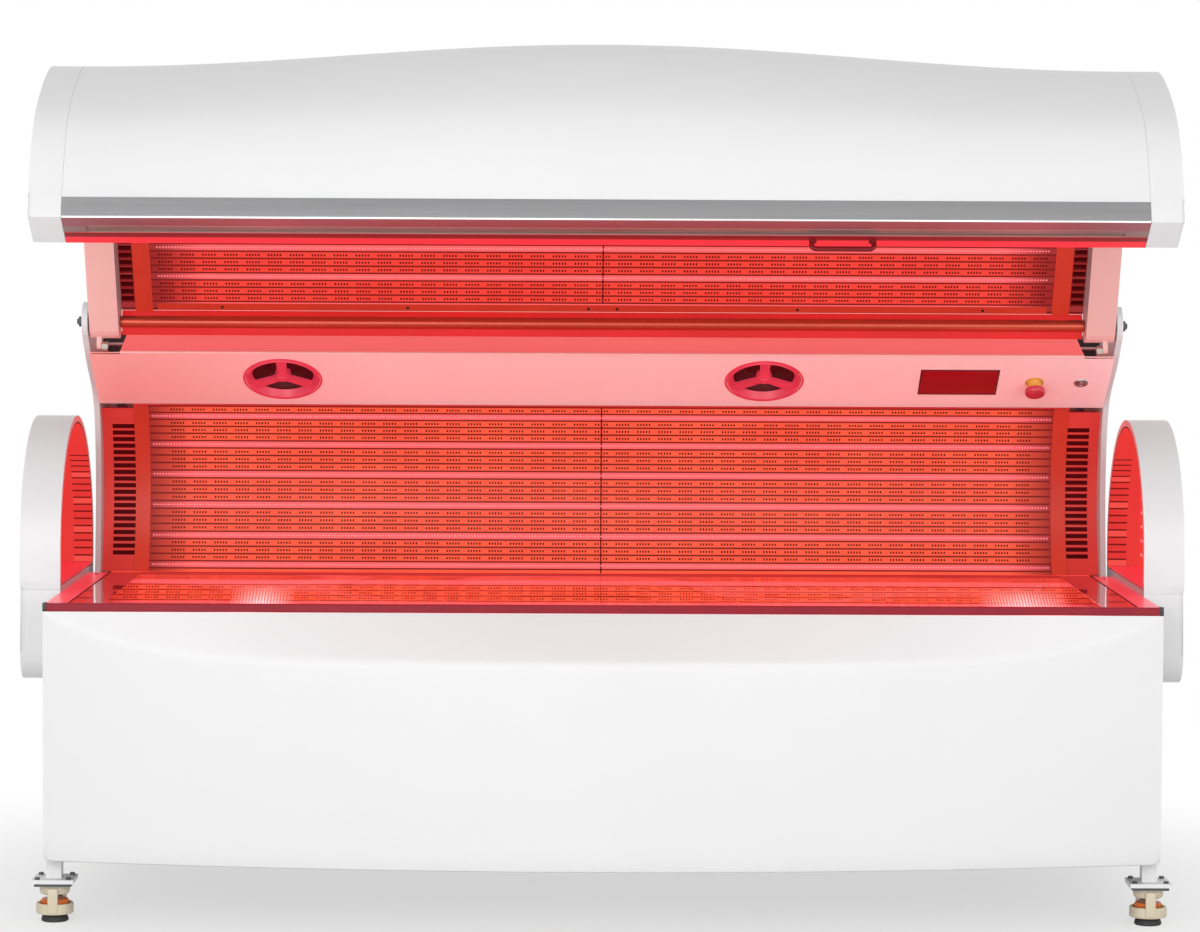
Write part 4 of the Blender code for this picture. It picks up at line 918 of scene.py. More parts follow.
def end_tree(tree, into, shape):
    """Sets the shape on each place, turned to where the place faces, and gives the result its finish."""
    facing = add_node(tree, "GeometryNodeInputNamedAttribute", Name="facing")
    facing.data_type = "FLOAT_VECTOR"
    turn = add_node(tree, "FunctionNodeAlignRotationToVector", Vector=facing.outputs["Attribute"])
    turn.axis = "Z"
    many = add_node(tree, "GeometryNodeInstanceOnPoints", Points=into["Places"], Instance=shape,
                    Rotation=turn.outputs["Rotation"])
    real = add_node(tree, "GeometryNodeRealizeInstances", Geometry=many.outputs["Instances"])
    paint = add_node(tree, "GeometryNodeSetMaterial", Geometry=real.outputs["Geometry"],
                     Material=into["Finish"])
    add_node(tree, "NodeGroupOutput", Pieces=paint.outputs["Geometry"])
    return tree


def make_stud_tree():
    """A tapered round or many-sided stud that stands on each place."""
    tree, into = start_tree("studs_on_places", Foot="Float", Top="Float", Height="Float", Corners="Int")
    stud = add_node(tree, "GeometryNodeMeshCone", Vertices=into["Corners"], Radius_Bottom=into["Foot"],
                    Radius_Top=into["Top"], Depth=into["Height"])
    return end_tree(tree, into, stud.outputs["Mesh"])


def make_bar_tree():
    """A bar half sunk into each place."""
    tree, into = start_tree("bars_on_places", Length="Float", Width="Float", Height="Float")
    size = add_node(tree, "ShaderNodeCombineXYZ", X=into["Length"], Y=into["Width"], Z=into["Height"])
    bar = add_node(tree, "GeometryNodeMeshCube", Size=size.outputs["Vector"])
    return end_tree(tree, into, bar.outputs["Mesh"])


def strew(name, places, tree, paint, body, slot, **sizes):
    """Places are (point, facing) pairs. The tree's result becomes a plain mesh on one body."""
    cloud = bpy.data.meshes.new(name)
    cloud.from_pydata([tuple(p) for p, n in places], [], [])
    facing = cloud.attributes.new("facing", "FLOAT_VECTOR", "POINT")
    facing.data.foreach_set("vector", [c for p, n in places for c in n])
    holder = bpy.data.objects.new("making", cloud)
    scene.collection.objects.link(holder)
    modifier = holder.modifiers.new("set", "NODES")
    modifier.node_group = tree
    names = {i.name: i.identifier for i in tree.interface.items_tree if i.in_out == "INPUT"}
    for label, value in (*sizes.items(), ("Finish", paint)):
        modifier[names[label]] = value
    add_piece(name, plain_mesh(holder), paint, body, slot)


STUDS = make_stud_tree()
BARS = make_bar_tree()
print("trees:", STUDS.name, BARS.name)

# %% [markdown]
# ## Front panel
# One bowed white sheet closes the front. Its top is scooped: a crescent slopes from the bowed face up to
# the straight edge of the lying sheet. Columns of a grid follow that rule, with a soft fold along the
# scoop's line, and Solidify gives the sheet its thickness.

# %% Bowed front panel
panel_low, panel_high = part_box("front_panel")
HALF = panel_high.x
PANEL_BOW, PANEL_WALL, SCOOP_DROP, SCOOP_POWER = 0.12, 0.008, 0.085, 6
PANEL_COLUMNS, FACE_STEPS, FOLD_STEPS = 120, 14, 6
FOLD, PANEL_LIP, CORNER = 0.014, 0.006, 0.018


def panel_column(x):
    share = abs(x) / HALF
    face = FRONT - PANEL_BOW * (1 - share ** 2)
    line = Vector((face, panel_high.z - SCOOP_DROP * (1 - share ** SCOOP_POWER) - PANEL_WALL / 2))
    edge = Vector((FRONT, panel_high.z))
    slope = edge - line
    fold = min(FOLD, 0.45 * slope.length)
    from_end = HALF - abs(x)
    lift = CORNER - math.sqrt(max(CORNER ** 2 - max(CORNER - from_end, 0.0) ** 2, 0.0))
    low = panel_low.z + lift
    start = line - Vector((0.0, fold))
    stop = line + slope.normalized() * fold
    foot = Vector((face, low + PANEL_LIP))
    points = [Vector((face + PANEL_LIP, low)), Vector((face + PANEL_LIP * 0.3, low + PANEL_LIP * 0.3)), foot]
    points += [foot.lerp(start, k / FACE_STEPS) for k in range(1, FACE_STEPS + 1)]
    points += [quadratic(start, line, stop, k / FOLD_STEPS) for k in range(1, FOLD_STEPS + 1)]
    points += [stop.lerp(edge, k / FOLD_STEPS) for k in range(1, FOLD_STEPS + 1)]
    return [(x, *p) for p in points]


spread = [math.sin(math.pi / 2 * (2 * k / PANEL_COLUMNS - 1)) for k in range(PANEL_COLUMNS + 1)]
panel = shaped(grid_mesh([panel_column(HALF * s) for s in spread]), "SOLIDIFY", thickness=PANEL_WALL,
               offset=-1.0)
add_piece("front_skin", panel, front_white, "base", "white_shell", "front_panel")

# %% [markdown]
# ## Domes
# At each end a round-topped white box holds a lit hood. The box is an outline pushed sideways with a
# generous round on its outer rim, hollowed from the bed's side.

# %% End domes and their bases
DOME_LOW, DOME_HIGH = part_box("dome_left")
DOME_RADIUS = (DOME_HIGH.y - DOME_LOW.y) / 2
DOME_MIDDLE = ((DOME_HIGH.y + DOME_LOW.y) / 2, DOME_HIGH.z - DOME_RADIUS)
DOME_SEAM, DOME_INNER, DOME_OUTER = DOME_LOW.z, -DOME_HIGH.x, -DOME_LOW.x
DOME_RIM, DOME_WALL, DOME_FLOOR = 0.014, 0.013, 0.006
BASE_LOW, BASE_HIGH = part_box("dome_base_left")
BASE_ROUND = 0.06


def round_top(inset, bottom):
    radius = DOME_RADIUS - inset
    down = [bottom + (DOME_MIDDLE[1] - bottom) * k / 6 for k in range(6)]
    return ([(DOME_MIDDLE[0] + radius, z) for z in down] + arc(DOME_MIDDLE, radius, 0, 180, 72)
            + [(DOME_MIDDLE[0] - radius, z) for z in reversed(down)])


def base_outline(inset):
    """The dome's base with rounded lower corners; a hollow also keeps a wall above it."""
    low, high = BASE_LOW.z + inset, BASE_HIGH.z - inset
    front, rear = BASE_LOW.y + inset, BASE_HIGH.y - inset
    radius = BASE_ROUND - inset
    return ([(rear, high), (front, high)] + arc((front + radius, low + radius), radius, 180, 270, 12)
            + arc((rear - radius, low + radius), radius, 270, 360, 12))


def rounded_box(outline, hollow, side, seam):
    """A box with its outer rim rounded, except along a seam, and hollow towards the bed."""
    bm = bmesh.new()
    ends = add_prism(bm, outline, side * DOME_INNER, side * DOME_OUTER)
    rims = [e for e in ends[1].edges if any(abs(v.co.z - seam) >= 1e-4 for v in e.verts)]
    bmesh.ops.bevel(bm, geom=rims, offset=DOME_RIM, segments=8, profile=0.5, affect="EDGES")
    return cut_away(mesh_from(bm), prism(hollow, side * (DOME_INNER - 0.05),
                                         side * (DOME_OUTER - DOME_WALL)))


for name, side in SIDES:
    box = rounded_box(round_top(0.0, DOME_SEAM), round_top(DOME_WALL, DOME_SEAM + DOME_FLOOR), side,
                      DOME_SEAM)
    keep_flats(add_piece(f"dome_shell_{name}", box, gloss_white, "base", "white_shell", f"dome_{name}"))
    box = rounded_box(base_outline(0.0), base_outline(DOME_WALL), side, BASE_HIGH.z)
    keep_flats(add_piece(f"dome_foot_{name}", box, gloss_white, "base", "white_shell", f"dome_base_{name}"))

# %% [markdown]
# ## Canopy
# The canopy's skin is a smooth curve over the bed that swells a little in the middle, closed at each end by
# a white cap with a soft rim, and in front by a brushed rail. All its points are measured from the hinge,
# because the whole canopy turns there.

# %% Canopy skin and end caps
CANOPY_KEYS = {
    "knee": (-0.249, 1.392), "rail_top": (-0.235, 1.430), "rail_lower": (-0.174, 1.344),
    "brow": (-0.130, 1.587), "crown": (0.116, 1.689), "rear_crown": (0.330, 1.652), "apex": (0.476, 1.559),
    "rear_flank": (0.585, 1.412), "rear_foot": (0.622, 1.247), "tunnel": (0.190, 1.227)}
AXIS_IN_PLAN = (0.570, 1.176)
OVER = ("rail_top", "brow", "crown", "rear_crown", "apex", "rear_flank", "rear_foot")
OVER_STEPS, SKIN_COLUMNS = 14, 90
SKIN_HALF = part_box("canopy_shell")[1].x
SKIN_WALL, CROWN_BULGE, CROWN_LEAN, SKIN_START = 0.006, 0.05, 1.15, 0.06
CAP_LOW, CAP_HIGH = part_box("canopy_end_cap_right")
CAP_WALL, CAP_ROUND, CAP_HOLE, CAP_OPEN, CAP_LEDGE = 0.01, 0.01, 0.285, 65, 0.004


def canopy_point(name):
    v, z = CANOPY_KEYS[name]
    return (hinge.y + v - AXIS_IN_PLAN[0], hinge.z + z - AXIS_IN_PLAN[1])


over_path = smooth([canopy_point(k) for k in OVER], OVER_STEPS)


def skin_column(x):
    points = []
    for k, (y, z) in enumerate(over_path):
        if k == 0:
            y, z = Vector(over_path[0]).lerp(Vector(over_path[1]), SKIN_START)
        lean = min(k / (len(over_path) - 1) * CROWN_LEAN, 1.0)
        swell = math.cos(math.pi / 2 * x / SKIN_HALF) ** 2 * math.sin(math.pi * lean)
        points.append((x, y, z + CROWN_BULGE * swell))
    return points


columns = [skin_column(SKIN_HALF * (2 * k / SKIN_COLUMNS - 1)) for k in range(SKIN_COLUMNS + 1)]
skin = shaped(grid_mesh(columns), "SOLIDIFY", thickness=SKIN_WALL, offset=-1.0)
add_piece("canopy_skin", skin, gloss_white, "canopy", "white_shell", "canopy_shell")

cap_rim = [canopy_point("rail_lower"), canopy_point("knee")] + over_path[:4 * OVER_STEPS + 1]
cap_hole = arc(canopy_point("tunnel"), CAP_HOLE, 90 - CAP_OPEN, 90 + CAP_OPEN, 40)
cap_inside = moved(cap_rim, CAP_WALL) + [(y, z - CAP_LEDGE) for y, z in cap_hole]
rim_points = {(round(y, 5), round(z, 5)) for y, z in cap_rim}
for name, side in SIDES:
    bm = bmesh.new()
    ends = add_prism(bm, cap_rim + cap_hole, side * CAP_LOW.x, side * CAP_HIGH.x)
    rims = [e for e in ends[1].edges
            if all((round(v.co.y, 5), round(v.co.z, 5)) in rim_points for v in e.verts)]
    bmesh.ops.bevel(bm, geom=rims, offset=CAP_ROUND, segments=6, profile=0.5, affect="EDGES")
    hollow = prism(cap_inside, side * (CAP_LOW.x - 0.02), side * (CAP_HIGH.x - CAP_WALL))
    cap = cut_away(mesh_from(bm), hollow)
    keep_flats(add_piece(f"canopy_cap_{name}", cap, gloss_white, "canopy", "white_shell",
                         f"canopy_end_cap_{name}"))

# %% [markdown]
# ## Finishes for the solids that stay
# Every solid that keeps its own shape gets a finish here. Its mesh is left alone.

# %% Finishes on the imported solids
# Among these, the glow of the rails, liners, front trim and arms is painted light from the lamps, the
# console holds painted caught light, and the blowers' dark crimson is painted shade.
STAYING = (
    (coat_white, "base_frame rear_panel end_panel_left end_panel_right side_post_left side_post_right"),
    (rail_pink, "bed_rail_left bed_rail_right"), (liner_red, "side_liner_left side_liner_right"),
    (console_white, "console_panel"), (vent_depth_shade, "blower_left blower_right"), (edge_red, "bed_front_trim"),
    (zinc, "strut_cylinder_left strut_cylinder_right power_supply"), (dark_plastic, "mains_inlet"),
    (polished, "strut_rod_left strut_rod_right"), (arm_lit, "canopy_arm_left canopy_arm_right"))
for paint, names in STAYING:
    for name in names.split():
        nodes[name].data.materials.clear()
        nodes[name].data.materials.append(paint)
    print(paint.name, "goes on", names)

# %% [markdown]
# ## Lamp boards
# The rear wall, the canopy's lining and the tray under the lying sheet are boards with rows of lamps. Each
# board is a sheet that follows a path, so its rows run straight along the bed. The lying sheet itself is
# made the same way.

# %% Boards
WALL_BOTTOM, WALL_TOP, WALL_FACE, WALL_HOLLOW = 0.6338, 0.984, FRONT + 0.775, 0.045
WALL_BELOW, WALL_ABOVE = 1.3, 2.7
BOARD_WALL, TRAY_WALL, SHEET_WALL = 0.012, 0.004, 0.006
LINING_RADIUS, LINING_OPEN = 0.345, 68
SHEET_FROM, SHEET_TO, SHEET_TOP = 0.0129, 0.742, 0.633
LED_HALF, LINING_HALF, BED_HALF = (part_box(n)[1].x
                                   for n in ("rear_led_panel", "canopy_led_panel", "bed_acrylic"))
tray_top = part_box("lower_led_tray")[1]


def wall_path(steps=54):
    half = (WALL_TOP - WALL_BOTTOM) / 2
    radius, turn = bow(half, WALL_HOLLOW)
    middle = (WALL_FACE + WALL_HOLLOW - radius, WALL_BOTTOM + half)
    return arc(middle, radius, -turn - WALL_BELOW, turn + WALL_ABOVE, steps)


def lining_path():
    tunnel = arc(canopy_point("tunnel"), LINING_RADIUS, 90 - LINING_OPEN, 90 + LINING_OPEN, 72)
    tail = Vector((hinge.y + 0.030, hinge.z + 0.024))
    rail = canopy_point("rail_lower")
    rise = [tuple(tail.lerp(Vector(tunnel[0]), k / 8)) for k in range(8)]
    return rise + tunnel + [(rail[0] + 0.012, rail[1] + 0.008)]


def trough(inset, top, dip, steps=56):
    front, rear = FRONT + SHEET_FROM + inset, FRONT + SHEET_TO - inset
    radius, turn = bow((rear - front) / 2, dip)
    return arc(((front + rear) / 2, top - dip + radius), radius, 270 - turn, 270 + turn, steps)


wall = wall_path()
lining = lining_path()
tray = trough(0.016, tray_top.z, 0.133)
sheet = trough(0.0, SHEET_TOP, 0.088)
lay("wall_lamps", wall, LED_HALF, BOARD_WALL, wall_board, "base", "led_board", "rear_led_panel")
lay("canopy_lining", lining, LINING_HALF, BOARD_WALL, canopy_board, "canopy", "led_board",
    "canopy_led_panel")
lay("tray_lamps", tray, tray_top.x, TRAY_WALL, tray_board, "base", "led_board", "lower_led_tray")
lay("lying_sheet", sheet, BED_HALF, SHEET_WALL, acrylic, "base", "acrylic", "bed_acrylic")

# %% [markdown]
# ## Lit hoods in the domes
# Each hood is a bent board and a flat plate at its end. The board's rows stop short of the plate and of the
# top, so those faces get a plain place on the UV map. Studs on the plate, a pale lip and a sill finish the
# dome; the pink of the lip and the red of the sill are painted light from the lamps.

# %% Dome hoods, lips, lamps and sills
PLAIN_ROW, HOOD_INSET, HOOD_WALL = (0.0, 1.5 * DOME_PITCH), DOME_WALL + 0.0034, 0.003
ROWS_ACROSS, ROWS_UP = 0.58, DOME_MIDDLE[1] + 0.66 * DOME_RADIUS
LIP_LOW, LIP_EDGE, LIP_HALF = DOME_SEAM + 0.02, 0.0012, 0.0006
DOME_ROWS, DOME_LAMP_STEP, DOME_LAMP_LOW, DOME_LAMP_INSET = 9, 0.030, 0.02, 0.04
SILL_INSET, SILL_LIFT, SILL_WALL = 0.016, 0.004, 0.002


def hood_mesh(side, bottom, near, far):
    rows_to = near + ROWS_ACROSS * (far - near)
    bm = bmesh.new()
    for a, b in ((near, rows_to), (rows_to, far)):
        x0, x1 = sorted((side * a, side * b))
        bm.from_mesh(path_sheet(round_top(HOOD_INSET, bottom + HOOD_WALL), x0, x1, HOOD_WALL))
    layer = bm.loops.layers.uv["metres"]
    plain = [f for f in bm.faces if f.loops[0][layer].uv.y > HIDDEN_MARK / 2
             and (abs(f.calc_center_median().x) > rows_to or f.calc_center_median().z > ROWS_UP)]
    plate, rear = ([bm.verts.new((side * x, y, z)) for y, z in round_top(HOOD_INSET, bottom)]
                   for x in (far - HOOD_WALL, far))
    plain.append(bm.faces.new(plate))
    for face in [bm.faces.new(rear[::-1])] + join_rings(bm, plate, rear):
        for loop in face.loops:
            loop[layer].uv = (loop.vert.co.y, HIDDEN_MARK)
    for face in plain:
        for loop in face.loops:
            loop[layer].uv = PLAIN_ROW
    return mesh_from(bm)


def plate_lamps(x, side):
    places = []
    for row in range(DOME_ROWS):
        z = LIP_LOW + DOME_LAMP_LOW + row * DOME_LAMP_STEP
        above = max(z - DOME_MIDDLE[1], 0.0)
        reach = math.sqrt(max((DOME_RADIUS - DOME_LAMP_INSET) ** 2 - above ** 2, 0.0))
        count = int(reach / DOME_LAMP_STEP)
        row_y = [DOME_MIDDLE[0] + k * DOME_LAMP_STEP for k in range(-count, count + 1)]
        places += [((x, y, z), (-side, 0.0, 0.0)) for y in row_y]
    return places


lip = round_top(LIP_EDGE, LIP_LOW) + round_top(DOME_WALL, LIP_LOW)[::-1]
for name, side in SIDES:
    low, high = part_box(f"dome_led_liner_{name}")
    near, far = sorted((abs(low.x), abs(high.x)))
    hood = hood_mesh(side, low.z, near, far)
    add_piece(f"dome_hood_{name}", hood, dome_board, "base", "led_board", f"dome_led_liner_{name}")
    x0, x1 = sorted(on_side(side, (DOME_INNER - LIP_HALF, DOME_INNER + LIP_HALF)))
    add_piece(f"dome_lip_{name}", prism(lip, x0, x1), lip_pink, "base", "white_shell")
    strew(f"dome_lamps_{name}", plate_lamps(side * (far - HOOD_WALL), side), STUDS, lamp_pink, "base",
          "led_board", Foot=0.0040, Top=0.0024, Height=0.0024, Corners=8)
    reach = DOME_RADIUS - SILL_INSET
    sill = [(DOME_MIDDLE[0] + end * reach, low.z + SILL_LIFT) for end in (-1, 1)]
    lay(f"dome_sill_{name}", sill, on_side(side, (DOME_INNER + 0.001, far)), SILL_WALL, rail_pink, "base",
        "white_shell")

# %% [markdown]
# ## Lamps on the boards
# Every fourth row is a string of bright pink lamps, and the three rows between carry dark lamps in groups
# of five. The pattern could be painted, but small bars and studs catch the light and stay crisp close up.
# One function walks along a board's path, and the trees above set the lamps.

# %% Lamps
GROUP_PITCH, GROUP_MARGIN, LAMP_STEP, GROUP_COUNT = 0.0457, 0.014, 0.0062, 5
SCREW_STRIP = 0.017


def lamp_rows(path, pitch, shift, half, skip):
    """Places of the bright lamps and of the dark lamps on a board."""
    bright, dark = [], []
    count, groups = int(half / LAMP_STEP), int((half - GROUP_MARGIN) / GROUP_PITCH)
    for row in range(math.ceil(shift), math.floor(measured(path)[-1] / pitch + shift)):
        distance = (row + 0.5 - shift) * pitch
        if distance < skip:
            continue
        point, facing = placed(0.0, path, distance)
        if row % 4 == 0:
            bright += [((k * LAMP_STEP, *point[1:]), facing) for k in range(-count, count + 1)]
            continue
        for group in range(-groups, groups + 1):
            start = group * GROUP_PITCH - (GROUP_COUNT - 1) / 2 * LAMP_STEP
            dark += [((start + k * LAMP_STEP, *point[1:]), facing) for k in range(GROUP_COUNT)]
    return bright, dark


for name, path, pitch, shift, half, skip, body in (
        ("wall", wall, WALL_PITCH, WALL_SHIFT, LED_HALF - 0.006, 0.0, "base"),
        ("canopy", lining, CANOPY_PITCH, CANOPY_SHIFT, 0.934, SCREW_STRIP, "canopy"),
        ("tray", tray, TRAY_PITCH, 0.0, 1.04, 0.0, "base")):
    bright, dark = lamp_rows(path, pitch, shift, half, skip)
    strew(f"{name}_bright_lamps", bright, STUDS, lamp_pink, body, "led_board",
          Foot=0.0021, Top=0.0012, Height=0.0016, Corners=6)
    strew(f"{name}_dark_lamps", dark, BARS, lamp_dark, body, "led_board", Length=0.0029, Width=0.0046,
          Height=0.0022)

# %% [markdown]
# ## Lit strips and louvres
# Beside each lamp field stands an orange strip that hides the edge of the board, and the canopy's ends are
# dark with louvres. The strip's orange is a painted glow on a dark base. The strip is a sheet on the same
# path, moved a few millimetres out of the board.

# %% Strips and louvres
WALL_STRIP, CANOPY_STRIP, STRIP_PROUD, STRIP_WALL = (0.976, 1.007), (0.946, 0.982), 0.005, 0.004
LOUVRES, LOUVRE_X, LOUVRE_FROM, LOUVRE_STEP = 14, 0.997, 0.030, 0.0175
rear_part = [p for p in lining if p[0] > canopy_point("tunnel")[0] + 0.02]
for name, side in SIDES:
    lay(f"wall_strip_{name}", moved(wall, -STRIP_PROUD)[1:-1], on_side(side, WALL_STRIP), STRIP_WALL,
        strip_amber, "base", "led_board")
    lay(f"canopy_strip_{name}", moved(rear_part, -STRIP_PROUD), on_side(side, CANOPY_STRIP), STRIP_WALL,
        strip_amber, "canopy", "led_board")
    places = [placed(side * LOUVRE_X, lining, LOUVRE_FROM + k * LOUVRE_STEP) for k in range(LOUVRES)]
    strew(f"canopy_louvres_{name}", places, BARS, shade_and_seam_dark, "canopy", "led_board", Length=0.026,
          Width=0.008, Height=0.008)

# %% [markdown]
# ## Edges of the wall and the tray
# Where boards meet other parts there are thin lines: red edgings at the foot and the head of the wall, an
# orange gap below it, the rim of the tray, and a dark seam in the middle of the wall and of the canopy. The
# red and orange of the edgings, the gap and the rim is a painted glow of the lamps' light.

# %% Edgings, wall foot, tray rim and seams
LEDGE_FROM, HEAD_HALF, FOOT_HALF = 0.985, 1.004, 1.055
SEAM_HALF, SEAM_PROUD, SEAM_WALL = 0.0014, 0.0010, 0.0009
foot_edging, head_edging = (sheet[-1][0] - 0.0010, sheet[-1][1] - 0.0015), deep((0.7372, 0.9952))[0]
edgings = built((add_rod, LEDGE_FROM, foot_edging, 0.0036, 12),
                (add_rod, HEAD_HALF, head_edging, 0.0024, 12))
add_piece("wall_edgings", edgings, wall_joint_red, "base", "led_board")
lay("wall_foot", deep((0.7415, 0.6325), (0.7770, 0.6330)), FOOT_HALF, 0.003, foot_orange, "base",
    "led_board")
tray_rim = [tray[-1], (sheet[-1][0] - 0.0005, sheet[-1][1] - 0.0065)]
lay("tray_rim", tray_rim, tray_top.x, 0.002, foot_orange, "base", "led_board")
for name, path, body in (("wall", wall, "base"), ("canopy", lining[1:-1], "canopy")):
    lay(f"{name}_seam", moved(path, -SEAM_PROUD), SEAM_HALF, SEAM_WALL, shade_and_seam_dark, body, "led_board")

# %% [markdown]
# ## Slots, ledges and notches
# The liners beside the wall have slots; dark bars sit in them, in front of a dark backing, as painted shade
# for the depth of the slots. A glossy red ledge with a dark line lies at each end of the lying sheet; its
# red glow is painted light from the lamps. A dark sheet closes the notch behind each arm as painted shade.

# %% Slots, ledges and notch backs
SLOTS, SLOT_MARGIN, SLOT_X = 20, 0.038, 1.0255
SLOT_BACK, SLOT_BACK_DEPTH, NOTCH = (0.985, 1.068), 0.012, (1.013, 1.083)
LEDGE_Z, LINE_WIDE, LINE_LIFT = 0.6342, 0.003, 0.0005


def at_height(x, path, z):
    """The place where a rising path passes a height."""
    for a, b in zip(path, path[1:]):
        if a[1] <= z <= b[1]:
            ahead = (Vector(b) - Vector(a)).normalized()
            point = Vector(a).lerp(Vector(b), (z - a[1]) / (b[1] - a[1]))
            return (x, *point), (0.0, -ahead.y, ahead.x)


slot_low, slot_high = WALL_BOTTOM + SLOT_MARGIN, WALL_TOP - SLOT_MARGIN
slot_heights = [slot_low + (slot_high - slot_low) * k / (SLOTS - 1) for k in range(SLOTS)]
ledge = deep((0.0135, LEDGE_Z), (SHEET_TO, LEDGE_Z))
ledge_line = [(y, z + LINE_LIFT) for y, z in ledge]
notch = deep((0.812, 1.085), (0.812, 1.150))
for name, side in SIDES:
    lay(f"slot_shade_backing_{name}", moved(wall, SLOT_BACK_DEPTH)[3:-3], on_side(side, SLOT_BACK), 0.002,
        shade_and_seam_dark, "base", "dark_plastic")
    strew(f"liner_slot_shades_{name}", [at_height(side * SLOT_X, wall, z) for z in slot_heights], BARS,
          shade_and_seam_dark, "base", "dark_plastic", Length=0.058, Width=0.0092, Height=0.003)
    lay(f"sheet_ledge_{name}", ledge, on_side(side, (LEDGE_FROM, BED_HALF)), 0.0012, ledge_red, "base",
        "acrylic")
    lay(f"ledge_line_{name}", ledge_line, on_side(side, (BED_HALF - LINE_WIDE, BED_HALF)), 0.0008,
        shade_and_seam_dark, "base", "dark_plastic")
    lay(f"notch_shade_{name}", notch, on_side(side, NOTCH), 0.002, dark_plastic, "base", "dark_plastic")

# %% [markdown]
# ## Rear edge of the lining
# The lining ends above the hinge in an orange strip with small screws. Below it a curved apron hides the gap
# to the hinge's tube; it is red towards the lamps and white behind, and that red is painted light from the
# lamps.

# %% Screw strip and apron
STRIP_SCREWS, APRON_HALF, STRIP_HALF = (0.03, 0.41, 0.80), 1.011, 0.935
APRON = ((0.0300, -0.0285), (0.0255, -0.0130), (0.0245, 0.0040), (0.0302, 0.0236))
rear_strip = [tuple(on_path(lining, d)[0]) for d in (0.001, SCREW_STRIP / 2, SCREW_STRIP)]
lay("screw_strip", moved(rear_strip, -0.0015), STRIP_HALF, 0.0025, strip_amber, "canopy", "led_board")
apron = [(hinge.y + a, hinge.z + b) for a, b in APRON]
lay("canopy_apron", apron, APRON_HALF, 0.003, apron_red, "canopy", "white_metal")
screws = [placed(side * x, lining, SCREW_STRIP / 2, 0.0014) for side in (-1, 1) for x in STRIP_SCREWS]
strew("strip_screws", screws, STUDS, dark_plastic, "canopy", "steel", Foot=0.0034, Top=0.0026, Height=0.0018,
      Corners=12)

# %% [markdown]
# ## Front rail
# The rail is a bent aluminium bar. Its upper face is plain, a bright bead runs along the bend as a painted
# highlight, and its lower face has a shallow channel between two fine ridges and a lip whose red is a
# painted reflection of the lamps. The channel is cut from the bar, and the bar's finish is tinted by height:
# red-brown below the bend as a painted reflection of the lamps, and grey-brown below the channel's upper
# edge.

# %% Rail, bead, ridges and lip
rail_top, knee, rail_lower = (Vector(canopy_point(k)) for k in ("rail_top", "knee", "rail_lower"))
RAIL_HALF, RAIL_WALL, KNEE_SOFT, BEND_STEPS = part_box("canopy_front_rail")[1].x, 0.008, 0.004, 5
CHANNEL, CHANNEL_HALF, CHANNEL_DEEP, LIP_SHARES = (0.34, 0.58), 0.985, 0.003, (1.0, 0.9, 0.8, 0.7, 0.6)
TINT_SOFT = 0.0015
lower_face = (rail_lower - knee).normalized()
outward = Vector((lower_face.y, -lower_face.x))
if outward.y > 0:
    outward = -outward


def on_lower_face(share, lift):
    return tuple(knee.lerp(rail_lower, share) + outward * lift)


bend = [knee + lower_face * KNEE_SOFT, knee, knee + (rail_top - knee).normalized() * KNEE_SOFT]
soft_bend = [quadratic(*bend, k / BEND_STEPS) for k in range(BEND_STEPS + 1)]
rail_path = [rail_lower] + soft_bend + [rail_top]
channel = [on_lower_face(share, lift) for share, lift in (
    (CHANNEL[0], 0.004), (CHANNEL[1], 0.004), (CHANNEL[1], -CHANNEL_DEEP), (CHANNEL[0], -CHANNEL_DEEP))]
height = xyz(brushed.node_tree, own_place(brushed.node_tree))["Z"]
# Painted reflection: red-brown below the bend, where the rail mirrors the lamps; grey-brown below the
# channel's upper edge.
for top, colour in ((knee.y, (0.42, 0.165, 0.185)),
                    (on_lower_face(CHANNEL[0], 0.0)[1], (0.36, 0.25, 0.235))):
    tint(brushed, ramp(brushed.node_tree, height, top, -TINT_SOFT), colour)
rail = prism(rail_path + moved(rail_path, RAIL_WALL)[::-1], -RAIL_HALF, RAIL_HALF)
rail = cut_away(rail, prism(channel, -CHANNEL_HALF, CHANNEL_HALF))
add_piece("front_rail", rail, brushed, "canopy", "aluminium", "canopy_front_rail")
bead = built((add_rod, RAIL_HALF - 0.001, soft_bend[2].lerp(soft_bend[3], 0.5), 0.0018, 10))
add_piece("rail_bead", bead, bright_highlight_edge, "canopy", "aluminium")
ridges = built(*((add_rod, CHANNEL_HALF, on_lower_face(share, -0.0004), 0.0009, 8) for share in CHANNEL))
add_piece("rail_ridges", ridges, ridge_brown, "canopy", "aluminium")
lip_path = [on_lower_face(share, 0.0005) for share in LIP_SHARES]
lay("rail_lip", lip_path, RAIL_HALF - 0.001, 0.0006, lip_finish(measured(lip_path)[-1]), "canopy",
    "aluminium")

# %% [markdown]
# ## Handle
# The pull handle is a bent tube on two small round feet. Half of its path is worked out and mirrored.

